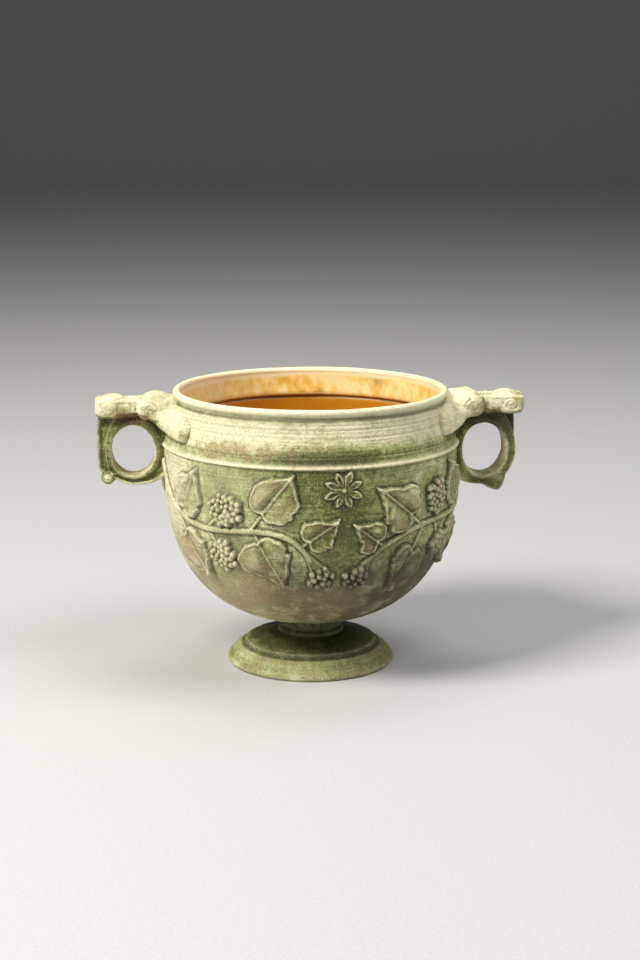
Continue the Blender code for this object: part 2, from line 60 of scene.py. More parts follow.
FAR = 0.02  # metres outside the ivy's shapes, where nothing of them counts any more


class Side(Enum):
    """Which side of the cup a handle stands on, as the sign of its X."""

    LEFT = -1
    RIGHT = 1


def smooth(values: Array, low: float, high: float) -> Array:
    """A soft step from 0 at low to 1 at high."""
    share = np.clip((values - low) / (high - low), 0.0, 1.0)
    return share * share * (3 - 2 * share)


def bump(values: Array, middle: float, width: float) -> Array:
    """A bell of height 1 round a middle."""
    return np.exp(-(((values - middle) / width) ** 2))


def crown(gap: Array, radius: float | Array) -> Array:
    """The height of a half-round of height 1 at a distance from its middle."""
    return np.sqrt(np.clip(1 - (gap / radius) ** 2, 0.0, 1.0))


def between(ends: tuple, share: float) -> float:
    """The value a share of the way from the first of two to the second."""
    return ends[0] + (ends[1] - ends[0]) * share


@dataclass(frozen=True)
class CupShape:
    """The turned shape of the cup, in metres: heights over the table and radii from the axis."""

    height: float = 0.1250
    bowl_radius: float = 0.0652
    bowl_bottom: float = 0.0205
    shoulder: float = 0.0920
    fullness: float = 2.5
    wall: float = 0.0040
    floor: float = 0.0050
    ridge_z: float = 0.1014
    ridge_height: float = 0.0042
    ridge_proud: float = 0.0010
    rim_radius: float = 0.0610
    rim_roll: float = 0.0030
    rim_thickness: float = 0.0031
    groove: float = 0.0012
    ledge_z: float = 0.1125
    ledge_step: float = 0.0013
    neck_setback: float = 0.0006
    neck_hollow: float = 0.0006
    stem_radius: float = 0.0132
    stem_base: float = 0.0135
    foot_radius: float = 0.0377
    foot_step_radius: float = 0.0298
    foot_step_top: float = 0.0100
    foot_hollow: float = 0.0090

    @property
    def bowl_depth(self) -> float:
        """From the ridge down to the bowl's lowest point."""
        return self.ridge_z - self.bowl_bottom

    def outer(self, height: Array) -> Array:
        """Outer radius of the bowl at a height."""
        drop = np.clip((self.shoulder - height) / (self.shoulder - self.bowl_bottom), 0.0, 1.0)
        return self.bowl_radius * (1 - drop**self.fullness) ** (1 / self.fullness)

    def inner(self, height: Array) -> Array:
        """Inner radius of the bowl at a height."""
        low = self.bowl_bottom + self.floor
        drop = np.clip((self.shoulder - height) / (self.shoulder - low), 0.0, 1.0)
        return (self.bowl_radius - self.wall) * (1 - drop**self.fullness) ** (1 / self.fullness)

    def neck(self, height: Array) -> Array:
        """Outer radius of the neck at a height."""
        low, high = self.ridge_z + self.ridge_height, self.height - self.rim_roll
        share = np.clip((height - low) / (high - low), 0.0, 1.0)
        bottom, top = self.bowl_radius - self.neck_setback, self.rim_radius - self.groove / 2
        return bottom + (top - bottom) * share - self.neck_hollow * np.sin(math.pi * share)


CUP = CupShape()


def lathe(profile: list, columns: int, closed: bool = False) -> BMesh:
    """Spins a section about Z.

    Args:
        profile: (radius, height) pairs; an open one starts and ends on the axis.
        columns: How many faces go round.
        closed: Whether the last point joins the first, as in a ring.
    Returns:
        The turned mesh, its seam and poles merged.
    """
    bm = bmesh.new()
    points = [bm.verts.new((float(radius), 0.0, float(height))) for radius, height in profile]
    pairs = list(zip(points, points[1:])) + ([(points[-1], points[0])] if closed else [])
    edges = [bm.edges.new(pair) for pair in pairs]
    bmesh.ops.spin(
        bm, geom=points + edges, cent=(0, 0, 0), axis=(0, 0, 1), angle=2 * math.pi, steps=columns, use_merge=True
    )
    bmesh.ops.remove_doubles(bm, verts=bm.verts, dist=1e-6)
    bmesh.ops.recalc_face_normals(bm, faces=bm.faces)
    return bm


def even_steps(points: list, step: float) -> list:
    """Fills a coarse section with points a step apart, rounding nothing."""
    filled = [points[0]]
    for (r0, z0), (r1, z1) in zip(points, points[1:]):
        count = max(1, round(math.hypot(r1 - r0, z1 - z0) / step))
        filled += [(r0 + (r1 - r0) * i / count, z0 + (z1 - z0) * i / count) for i in range(1, count + 1)]
    return filled


def rounded(points: list, rounds: int) -> list:
    """Softens a section's corners by cutting them, keeping its ends."""
    for _ in range(rounds):
        cut = [points[0]]
        for (r0, z0), (r1, z1) in zip(points, points[1:]):
            cut += [(r0 * near + r1 * (1 - near), z0 * near + z1 * (1 - near)) for near in (0.75, 0.25)]
        points = cut + [points[-1]]
    return points


def signed_distance(points: Array, outline: Array) -> Array:
    """Distance of each point to a closed outline, positive inside it."""
    starts, ends = outline, np.roll(outline, -1, axis=0)
    nearest = np.full(len(points), np.inf)
    inside = np.zeros(len(points), dtype=bool)
    for start, end in zip(starts, ends):
        run = end - start
        share = np.clip(((points - start) @ run) / max(run @ run, 1e-18), 0.0, 1.0)
        nearest = np.minimum(nearest, np.linalg.norm(points - start - share[:, None] * run, axis=1))
        crosses = (start[1] > points[:, 1]) != (end[1] > points[:, 1])
        rise = run[1] if abs(run[1]) > 1e-12 else 1e-12
        inside ^= crosses & (points[:, 0] < start[0] + (points[:, 1] - start[1]) * run[0] / rise)
    return np.where(inside, nearest, -nearest)


def curve_through(poles: list, per_span: int) -> Array:
    """A smooth closed curve through points (Catmull-Rom)."""
    poles = np.array(poles)
    steps = np.linspace(0.0, 1.0, per_span, endpoint=False)[:, None]
    before, start = np.roll(poles, 1, axis=0), poles
    end, after = np.roll(poles, -1, axis=0), np.roll(poles, -2, axis=0)
    spans = [
        0.5 * (2 * b + (c - a) * steps + (2 * a - 5 * b + 4 * c - d) * steps**2 + (3 * b - a - 3 * c + d) * steps**3)
        for a, b, c, d in zip(before, start, end, after)
    ]
    return np.concatenate(spans)


@dataclass(frozen=True)
class IvyLeaf:
    """One leaf of a vine.

    at is its share along the vine, side the side of it; stalk and length are in metres and lean in degrees.
    Widths and their places are shares of its length, left and right as seen from its base. puff is how far each lobe
    swells (above 0) or is cupped (below 0), in millimetres.
    """

    at: float
    side: int
    stalk: float
    length: float
    lean: float
    left: tuple = (0.48, 0.24)
    right: tuple = (0.48, 0.24)
    back: float = 0.04
    puff: tuple = (0.7, 0.4)

    def outline(self) -> Array:
        """The leaf's edge as shares of its length, from a notch at its base to its tip."""

        def half(width: float, middle: float) -> list:
            back = self.back
            edge = ((-0.2 * back, 0.12), (-back, 0.45), (middle * 0.35 - back, 0.82), (middle, 1),
                    (middle + 0.20, 0.88), (middle + 0.38, 0.52), (0.90, 0.13))
            return [(along, share * width) for along, share in edge]

        left = half(*self.left)
        right = [(t, -w) for t, w in reversed(half(*self.right))]
        return curve_through([(0.03, 0.0), *left, (1.0, 0.0), *right], 5)


@dataclass(frozen=True)
class Corymb:
    """A cluster of berries on its stalk, in the same terms as a leaf."""

    at: float
    side: int
    stalk: float
    lean: float
    half_width: float
    half_height: float
    berries: int


@dataclass(frozen=True)
class Vine:
    """One vine: its way along the wall, its Bezier path and what grows on it.

    path holds (degrees from the spray's middle, share of the bowl's depth under the ridge).
    """

    way: int
    path: tuple
    leaves: tuple
    corymbs: tuple

    def place(self, at: float) -> tuple:
        """The place (degrees, drop) at a share of the vine."""
        weights = ((1 - at) ** 3, 3 * at * (1 - at) ** 2, 3 * at**2 * (1 - at), at**3)
        azimuth, depth = (sum(w * pole[i] for w, pole in zip(weights, self.path)) for i in (0, 1))
        return azimuth, depth * CUP.bowl_depth

    def leaned(self, start: tuple, reach: float, sprig) -> tuple:
        """The place a reach away from start, the way that a leaf or corymb leans."""
        lean = math.radians(sprig.lean)
        return wall_offset(start, self.way * reach * math.cos(lean), sprig.side * reach * math.sin(lean))


def wall_offset(place: tuple, right: float, up: float) -> tuple:
    """The place a distance right and up of another, measured on the wall."""
    drop = place[1] - up
    return place[0] + math.degrees(right / float(CUP.outer(CUP.ridge_z - drop))), drop


VINES = (
    Vine(
        way=1,
        path=((-90, 0.083), (-61.4, 0.645), (-27, 0.115), (-12.1, 0.492)),
        leaves=(
            IvyLeaf(0.23, 1, 0.0036, 0.0216, 62, (0.50, 0.30), (0.44, 0.30), 0.05, (0.5, -0.2)),
            IvyLeaf(0.182, -1, 0.0110, 0.0217, 58, (0.38, 0.36), (0.50, 0.36), 0.02, (0.3, 0.6)),
            IvyLeaf(0.629, 1, 0.0088, 0.0237, 52, (0.43, 0.34), (0.46, 0.40), 0.01, (0.8, 0.1)),
            IvyLeaf(0.648, -1, 0.0042, 0.0233, 65, (0.41, 0.34), (0.56, 0.24), 0.02, (0.5, 0.6)),
            IvyLeaf(0.922, 1, 0.0036, 0.0177, 36, (0.44, 0.22), (0.43, 0.30), 0.03, (0.5, -0.3)),
        ),
        corymbs=(
            Corymb(0.39, 1, 0.0149, 40, 0.0078, 0.0070, 31),
            Corymb(0.40, -1, 0.0122, 58, 0.0066, 0.0069, 27),
            Corymb(1.0, -1, 0.0092, 60, 0.0053, 0.0051, 13),
        ),
    ),
    Vine(
        way=-1,
        path=((80.2, 0.198), (68.7, 0.492), (34.1, 0.174), (8.3, 0.530)),
        leaves=(
            IvyLeaf(0.30, 1, 0.0060, 0.0211, 61, (0.44, 0.30), (0.48, 0.30), 0.03, (0.4, 0.4)),
            IvyLeaf(0.25, -1, 0.0070, 0.0210, 60, (0.46, 0.30), (0.46, 0.30), 0.03, (0.5, 0.2)),
            IvyLeaf(0.679, 1, 0.0084, 0.0234, 38, (0.46, 0.22), (0.48, 0.22), 0.07, (0.6, 0.9)),
            IvyLeaf(0.664, -1, 0.0115, 0.0197, 66, (0.50, 0.34), (0.45, 0.26), 0.07, (0.3, 0.8)),
            IvyLeaf(0.89, 1, 0.0034, 0.0158, 36, (0.48, 0.16), (0.50, 0.24), 0.05, (0.5, 0.8)),
        ),
        corymbs=(
            Corymb(0.55, 1, 0.0109, 70, 0.0061, 0.0070, 25),
            Corymb(0.58, -1, 0.0128, 118, 0.0066, 0.0050, 21),
            Corymb(1.0, -1, 0.0060, 70, 0.0055, 0.0052, 13),
        ),
    ),
)


@dataclass
class IvyRelief:
    """The moulded ivy as a height over the bowl's wall, in metres.

    middle is where the spray's middle stands, in degrees. rosette_share is the flower's share of the bowl's depth,
    knob its knob's radius and rise, and plain the share of each corymb's berries that is made.
    """

    middle: float = 8.0
    leaf_rise: float = 0.0021
    leaf_edge: float = 0.00085
    lip: float = 0.00046
    valley: float = 0.00085
    vein: float = 0.00072
    vine_start: float = 0.00135
    vine_end: float = 0.00122
    stalk: float = 0.00075
    berry: float = 0.00150
    berry_rise: float = 0.0026
    petal_length: float = 0.0076
    rosette_share: float = 0.114
    petals: int = 8
    knob: tuple = (0.00155, 0.00235)
    plain: float = 1.0

    def measure(self, azimuth: Array, z: Array) -> tuple:
        """Measures the relief at places on the wall.

        Args:
            azimuth: Degrees from -Y towards +X.
            z: Heights in metres.
        Returns:
            The relief's height, and the distance inside its shapes (negative outside), in metres.
        """
        self.azimuth = (azimuth - self.middle + 180.0) % 360.0 - 180.0
        self.drop, self.radius = CUP.ridge_z - z, CUP.outer(z)
        self.height, self.near = np.zeros(len(z)), np.full(len(z), -FAR)
        for vine in VINES:
            self.add_vine(vine)
        self.add_rosette((0.0, self.rosette_share * CUP.bowl_depth))
        return self.height, self.near

    def local(self, place: tuple, reach: float) -> tuple:
        """Which points lie within a reach of a place, and their offsets right and up of it."""
        right = np.radians(self.azimuth - place[0]) * self.radius
        up = place[1] - self.drop
        found = np.nonzero((np.abs(right) < reach) & (np.abs(up) < reach))[0]
        return found, right[found], up[found]

    def raise_to(self, found: Array, rise: Array, depth: Array) -> None:
        """Lays a shape over what is there."""
        self.height[found] = np.maximum(self.height[found], rise)
        self.near[found] = np.maximum(self.near[found], depth)

    def add_run(self, places: list, first: float, last: float, rise: float = 1.15) -> None:
        """A vine or stalk: a half-round cord through places, tapering from its first radius to its last."""
        count = len(places) - 1
        for i, (start, end) in enumerate(zip(places, places[1:])):
            found, right, up = self.local(start, 0.012)
            local_radius = self.radius[found]
            run_right, run_up = np.radians(end[0] - start[0]) * local_radius, start[1] - end[1]
            share = np.clip((right * run_right + up * run_up) / (run_right**2 + run_up**2), 0.0, 1.0)
            gap = np.hypot(right - share * run_right, up - share * run_up)
            radius = first + (last - first) * (i + share) / count
            self.raise_to(found, radius * rise * crown(gap, radius), radius - gap)

    def add_berry(self, place: tuple, radius: float, rise: float) -> None:
        """A round berry with a pit in its top."""
        found, right, up = self.local(place, 0.004)
        gap = np.hypot(right, up)
        pit = 0.30 * MM * bump(gap, 0.0, 0.32 * MM)
        self.raise_to(found, rise * crown(gap, radius) - pit, radius - gap)

    def add_leaf(self, start: tuple, base: tuple, tip: tuple, leaf: IvyLeaf, seed: float) -> None:
        """A leaf: puffed lobes in a raised edge, torn on one side, with a vein in a valley and a lifted tip."""
        self.add_run([start, base], self.stalk, self.stalk * 0.9)
        radius = float(CUP.outer(CUP.ridge_z - (base[1] + tip[1]) / 2))
        along = np.array((math.radians(tip[0] - base[0]) * radius, base[1] - tip[1]))
        length = float(np.hypot(*along))
        along /= length
        found, right, up = self.local(base, length * 1.3)
        t = (right * along[0] + up * along[1]) / length
        s = (up * along[0] - right * along[1]) / length
        wave = np.sin(t * 17 + seed) * 0.012 + np.sin(s * 23 + seed * 2.3) * 0.012
        wave = wave + np.sin(t * 41 + s * 9 + seed) * 0.006
        torn_side = -along[1] * (1 if base[0] < 0 else -1)
        torn = smooth(s * np.sign(torn_side), 0.05, 0.25) * smooth(t, 0.0, 0.3)
        wave += torn * (np.sin(t * 23 + seed * 3) * 0.026 + np.sin(t * 43 + s * 11 + seed) * 0.010)
        depth = signed_distance(np.c_[t + wave * 0.5, s + wave], leaf.outline()) * length
        aside = np.abs(s) * length
        rise = self.leaf_rise * (0.94 + 0.12 * math.sin(seed * 3.1))
        edge = smooth(depth, -0.20 * MM, self.leaf_edge) ** 0.8
        puff = np.where(s > 0, leaf.puff[0], leaf.puff[1]) * MM * (1 + 0.45 * np.sin(t * 9 + s * 7 + seed))
        dome = 1.5 * puff * smooth(depth, 0.9 * MM, 4.2 * MM) * smooth(aside, 0.6 * MM, 4.0 * MM)
        lip = self.lip * bump(depth, 0.95 * MM, 0.65 * MM) * (0.8 + 0.6 * np.sin(t * 14 + s * 19 + seed * 5))
        valley = self.valley * bump(aside, 0.0, 3.0 * MM) * smooth(depth, 0.4 * MM, 2.4 * MM) * (1.15 - t)
        vein = self.vein * bump(aside, 0.0, 0.52 * MM) * smooth(t, 1.05, 0.85) * smooth(t, -0.1, 0.05)
        curl = 0.9 * MM * smooth(t, 0.60, 0.96) * smooth(aside, 3.5 * MM, 0.5 * MM)
        crease = bump(t, 0.62 + 0.08 * math.sin(seed * 2), 0.10)
        fold = 0.75 * MM * torn * crease * smooth(depth, 0.2 * MM, 1.6 * MM)
        self.raise_to(found, edge * (rise * 0.80 + dome + lip + vein + curl - valley - fold), depth)

    def add_corymb(self, vine: Vine, corymb: Corymb) -> None:
        """A rounded cluster of berries on a golden spiral, on branching stalks at a vine's end."""
        start = vine.place(corymb.at)
        middle = vine.leaned(start, corymb.stalk, corymb)
        count = max(4, round(corymb.berries * self.plain))
        ending = corymb.at == 1.0
        if not ending:
            self.add_run([start, middle], self.stalk, self.stalk * 0.8)
        found, right, up = self.local(middle, 0.012)
        spread = np.hypot(right / corymb.half_width, up / corymb.half_height)
        mound = 1 - smooth(spread, 0.55, 1.12)
        self.raise_to(found, mound * 0.5 * MM, np.minimum((1.1 - spread) * corymb.half_width, -0.02 * MM))
        for i in range(count):
            share, angle = math.sqrt((i + 0.5) / count), GOLDEN_ANGLE * i
            stray = 0.28 * MM * math.sin(i * 5.3 + corymb.lean), 0.28 * MM * math.sin(i * 3.7 + corymb.lean * 2)
            place = wall_offset(
                middle, corymb.half_width * share * math.cos(angle) + stray[0],
                corymb.half_height * share * math.sin(angle) + stray[1],
            )
            size = 1 + 0.16 * math.sin(i * 2.4 + corymb.lean)
            if ending and 0.3 < share < 0.85:
                self.add_run([vine.place(0.955), place], self.stalk * 1.05, self.stalk * 0.8)
            self.add_berry(place, self.berry * size, self.berry_rise * (1.12 - 0.15 * share) * size)

    def add_vine(self, vine: Vine) -> None:
        """A vine with its leaves and corymbs."""
        self.add_run([vine.place(i / 48) for i in range(49)], self.vine_start, self.vine_end)
        for number, leaf in enumerate(vine.leaves):
            start = vine.place(leaf.at)
            base = vine.leaned(start, leaf.stalk, leaf)
            self.add_leaf(start, base, vine.leaned(base, leaf.length, leaf), leaf, number * 1.7 + vine.way)
        for corymb in vine.corymbs:
            self.add_corymb(vine, corymb)

    def add_rosette(self, middle: tuple) -> None:
        """A flower of eight pointed, hollowed petals round a knob."""
        petal = curve_through([(0, 0.05), (0.25, 0.17), (0.55, 0.23), (0.82, 0.15), (1, 0),
                               (0.82, -0.15), (0.55, -0.23), (0.25, -0.17), (0, -0.05)], 4)
        found, right, up = self.local(middle, 0.010)
        for i in range(self.petals):
            angle = 2 * math.pi * (i + 0.5) / self.petals
            reach = self.petal_length * (1 + 0.06 * math.sin(i * 2.1))
            out = right * math.cos(angle) + up * math.sin(angle) - 0.0009
            side = up * math.cos(angle) - right * math.sin(angle)
            depth = signed_distance(np.c_[out, side] / reach, petal) * reach
            rim = smooth(depth, -0.15 * MM, 0.45 * MM) * 1.55 * MM
            hollow = smooth(depth, 0.45 * MM, 1.30 * MM) * (0.75 if i in (2, 3, 4) else 0.30) * MM
            self.raise_to(found, rim - hollow, depth)
        self.add_berry(middle, *self.knob)


def azimuth_of(places: Array) -> Array:
    """Degrees round the axis from -Y towards +X."""
    return np.degrees(np.arctan2(places[:, 0], -places[:, 1]))


class MeshField:
    """Numbers held at a mesh's vertices, worked out from its shape."""

    def __init__(self, mesh: Mesh) -> None:
        """Reads the places, normals and edges of a mesh."""
        self.mesh = mesh
        self.places = self.read(mesh.vertices, "co", 3)
        self.normals = self.read(mesh.vertex_normals, "vector", 3)
        self.edges = self.read(mesh.edges, "vertices", 2, np.int32)
        self.z = self.places[:, 2]
        self.radius = np.hypot(self.places[:, 0], self.places[:, 1])
        self.azimuth = azimuth_of(self.places)

    @staticmethod
    def read(source, key: str, width: int, kind: type = np.float32) -> Array:
        """Reads one property of every element as rows."""
        values = np.empty(len(source) * width, dtype=kind)
        source.foreach_get(key, values)
        return values.reshape(-1, width) if kind is np.int32 else values.reshape(-1, width).astype(float)

    def noise(self, grain: float) -> Array:
        """Uneven handmade surface, about -1 to 1, with lumps of a grain size in millimetres."""
        return np.array([noise.noise(Vector(place) / (grain * MM)) for place in self.places])

    def lifted(self, lift: Array) -> "MeshField":
        """Moves the vertices along their normals, and reads the mesh again."""
        moved = self.places + self.normals * lift[:, None]
        self.mesh.vertices.foreach_set("co", moved.astype(np.float32).ravel())
        self.mesh.update()
        return MeshField(self.mesh)

    def diffused(self, values: Array, rounds: int) -> Array:
        """Evens values out between neighbours."""
        first, second = self.edges[:, 0], self.edges[:, 1]
        count = len(self.places)
        degree = np.bincount(self.edges.ravel(), minlength=count)
        for _ in range(rounds):
            columns = [
                np.bincount(first, weights=column[second], minlength=count)
                + np.bincount(second, weights=column[first], minlength=count)
                for column in values.T
            ]
            values = 0.5 * values + 0.5 * np.stack(columns, axis=1) / degree[:, None]
        return values

    def store(self, **fields: Array) -> None:
        """Keeps numbers at the vertices for the materials, held between 0 and 1."""
        for name, values in fields.items():
            layer = self.mesh.attributes.new(name, "FLOAT", "POINT")
            layer.data.foreach_set("value", np.clip(values, 0.0, 1.0).astype(np.float32))

    def mark_proud_and_hollow(self, rounds: int, edge_depth: float, share: Array | float = 1.0) -> None:
        """Stores how proud and how hollow each vertex stands against its surroundings.

        Args:
            rounds: How far the surroundings reach, in rounds of evening out.
            edge_depth: The depth in metres that counts as full.
            share: How much of it counts at each vertex.
        """
        stand = ((self.places - self.diffused(self.places, rounds)) * self.normals).sum(axis=1)
        stand = self.diffused(stand[:, None], 1)[:, 0] / edge_depth * share
        self.store(proud=stand, hollow=-stand)


def patches(azimuth: Array, z: Array, *spots: tuple) -> Array:
    """Soft oval patches on the wall, each (strength, degrees round, height, half its degrees, half its height)."""
    total = 0.0
    for strength, middle, height, wide, tall in spots:
        aside = ((azimuth - middle + 180) % 360 - 180) / wide
        total = total + strength * np.exp(-(aside**2 + ((z - height) / tall) ** 2))
    return total


def linked(name: str, data: ID) -> Object:
    """A new object in the scene."""
    made = bpy.data.objects.new(name, data)
    bpy.context.scene.collection.objects.link(made)
    return made


def placed(name: str, bm: BMesh) -> Object:
    """Puts a bmesh in the scene as a smooth-shaded object, and frees it."""
    mesh = bpy.data.meshes.new(name)
    bm.to_mesh(mesh)
    bm.free()
    mesh.shade_smooth()
    return linked(name, mesh)


def finished_piece(name: str, bm: BMesh) -> Object:
    """Turns a bmesh into a piece of the cup, its faces outward, riding on its body."""
    bmesh.ops.recalc_face_normals(bm, faces=bm.faces)
    if bm.calc_volume(signed=True) < 0:
        bmesh.ops.reverse_faces(bm, faces=bm.faces)
    piece = placed(name, bm)
    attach(piece, BODY)
    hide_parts(NODE)
    return piece


def extruded(bm: BMesh, edges: list) -> tuple:
    """Extrudes edges once, and gives the new vertices and the new edges between them."""
    made = bmesh.ops.extrude_edge_only(bm, edges=edges)["geom"]
    verts = [item for item in made if isinstance(item, BMVert)]
    fresh = set(verts)
    return verts, [item for item in made if isinstance(item, BMEdge) and fresh.issuperset(item.verts)]


@dataclass
class BowlWall:
    """The bowl's outer wall with its frieze of ivy.

    near_ivy is how close to the ivy, in metres, the mesh is cut finer.
    """

    columns: int = 288
    row: float = 0.00120
    cuts: int = 2
    near_ivy: float = 0.0009
    top: float = 0.1009
    bottom: float = 0.0212
    handmade: float = 0.00010
    back_middle: float = 188.0
    back_plain: float = 0.8

    def profile(self) -> list:
        """The wall's section: up its middle, over under the ridge, and down its outside."""
        heights, step = [self.bottom], 0.00002
        while heights[-1] < self.top - self.row:
            z = heights[-1]
            slope = float(CUP.outer(z + step) - CUP.outer(z)) / step
            heights.append(z + self.row / math.hypot(1.0, slope))
        heights.append(self.top)
        outside = [(float(CUP.outer(z)), z) for z in heights[::-1]]
        inside = [(max(r - CUP.wall / 2, 0.004), z + CUP.wall / 3) for r, z in outside[::-6]]
        inside[-1] = (inside[-1][0], self.top)
        return [(0.0, self.bottom + CUP.wall / 2), *inside, *outside, (0.0, self.bottom)]

    def build(self) -> Object:
        """Turns the wall, refines it where the ivy lies and raises the ivy."""
        sprays = (IvyRelief(), IvyRelief(middle=self.back_middle, plain=self.back_plain))
        bm = lathe(self.profile(), self.columns)
        bm.verts.ensure_lookup_table()
        near = self.relief_on(np.array([v.co for v in bm.verts]), sprays)[1]
        marked = [f for f in bm.faces if max(near[v.index] for v in f.verts) > -self.near_ivy]
        edges = list({edge for face in marked for edge in face.edges})
        bmesh.ops.subdivide_edges(bm, edges=edges, cuts=self.cuts, use_grid_fill=True)
        for vert in bm.verts:
            self.settle(vert)
        piece = finished_piece("bowl_wall", bm)
        shape = MeshField(piece.data)
        height, near, outside = self.relief_on(shape.places, sprays)
        uneven = shape.noise(14) * self.handmade + shape.noise(3) * self.handmade * 0.5
        lift = np.where(outside, height + uneven * smooth(CUP.ridge_z - shape.z, 0.001, 0.004), 0.0)
        self.paint(shape.lifted(lift), height, near, outside)
        return piece

    @staticmethod
    def paint(shape: MeshField, height: Array, near: Array, outside: Array) -> None:
        """Stores the wear and the tints that the glaze follows, with painted shade and painted highlights."""
        azimuth, z = shape.azimuth, shape.z
        shape.mark_proud_and_hollow(5, 0.19 * MM, smooth(0.1002 - z, 0.0, 0.0006))
        raised = smooth(height, 0.6 * MM, 1.5 * MM)
        # Painted shade: the lower bowl darkens from the front round to the right, away from the key light.
        turned = smooth(azimuth, -40.0, -6.0) * smooth(azimuth, 165.0, 110.0)
        low_shade = smooth(0.070 - z, 0.0, 0.020) * turned * (0.68 + 0.50 * smooth(azimuth, 0.0, 45.0))
        # Painted highlight: the left side, towards the key light, is paler.
        lit = 0.16 * smooth(-azimuth, 8.0, 45.0) * smooth(-azimuth, 150.0, 110.0)
        front = patches(azimuth, z, (1, 9, 0.080, 17, 0.024), (0.5, 1, 0.097, 9, 0.008))
        back = patches(azimuth, z, (1, 170, 0.085, 45, 0.03))
        # Painted highlight: less green on the far left, where the light grazes the wall.
        pale = 0.30 * smooth(-azimuth, 46.0, 66.0) * smooth(-azimuth, 130.0, 100.0)
        green = 0.44 + 0.46 * front + 0.30 * back - 0.06 * smooth(0.052 - z, 0.0, 0.018) + 0.02 * raised
        low = smooth(0.056 - z, 0.0, 0.014) * (1 - 0.5 * smooth(0.034 - z, 0.0, 0.008))
        worn = patches(azimuth, z, (1, -68, 0.058, 14, 0.012), (1, -28, 0.05, 12, 0.008))
        shape.store(
            # Painted shade on the lower bowl, with a darker tone on the raised ivy.
            shade=low_shade + 0.14 * raised,
            # Paler: a painted highlight on the left side, and a painted highlight with wear on the ivy's highest
            # crowns.
            bright=lit + 0.28 * smooth(height, 1.9 * MM, 2.9 * MM),
            # Darker round the foot of the relief and somewhat over it: glaze pooling there, and painted shade.
            pool=np.where(near < 0, np.exp(near / 0.0016), 0.3) * outside,
            green=green - pale,
            buff=0.60 * low + 0.5 * worn + 0.38 * raised,
        )

    @staticmethod
    def settle(vert: BMVert) -> None:
        """Pulls a vertex of the wall's outside onto the true curve."""
        radius = math.hypot(vert.co.x, vert.co.y)
        true = float(CUP.outer(vert.co.z))
        if radius > 0 and abs(radius - true) < 0.0003 and vert.co.z > 0.0225:
            vert.co.x, vert.co.y = vert.co.x * true / radius, vert.co.y * true / radius

    @staticmethod
    def relief_on(places: Array, sprays: tuple) -> tuple:
        """The height and nearness of both sprays, and which places are on the outside."""
        azimuth, z = azimuth_of(places), places[:, 2]
        outside = (np.hypot(places[:, 0], places[:, 1]) > CUP.outer(z) - 0.0005) & (z > 0.03)
        height, near = (np.maximum(*both) for both in zip(*(spray.measure(azimuth, z) for spray in sprays)))
        return np.where(outside, height, 0.0), np.where(outside, near, -FAR), outside


@dataclass
class BowlLining:
    """The bowl's inside, from its floor up to the ledge."""

    columns: int = 240
    rows: int = 44
    top: float = 0.1113
    handmade: float = 0.00022

    def build(self) -> Object:
        """Turns the lining as a closed shell inside the wall."""
        low = CUP.bowl_bottom + CUP.floor
        turns = [math.pi / 2 * i / self.rows for i in range(self.rows + 1)]
        heights = [low + (CUP.shoulder - low) * (1 - math.cos(turn)) for turn in turns]
        inside = [(float(CUP.inner(z)), z) for z in heights]
        collar = (float(CUP.neck(CUP.ledge_z)) - CUP.wall, self.top)
        inside += even_steps([inside[-1], collar], 1.6 * MM)[1:]
        outside = [(r + CUP.wall * 0.45, z - CUP.wall * 0.3) for r, z in inside[::-5]]
        piece = finished_piece("bowl_lining", lathe([*inside, *outside, (0.0, low - CUP.wall * 0.4)], self.columns))
        shape = MeshField(piece.data)
        shape.lifted(shape.noise(11) * self.handmade)
        shape.store(deep=smooth(0.113 - shape.z, 0.0, 0.004))
        return piece


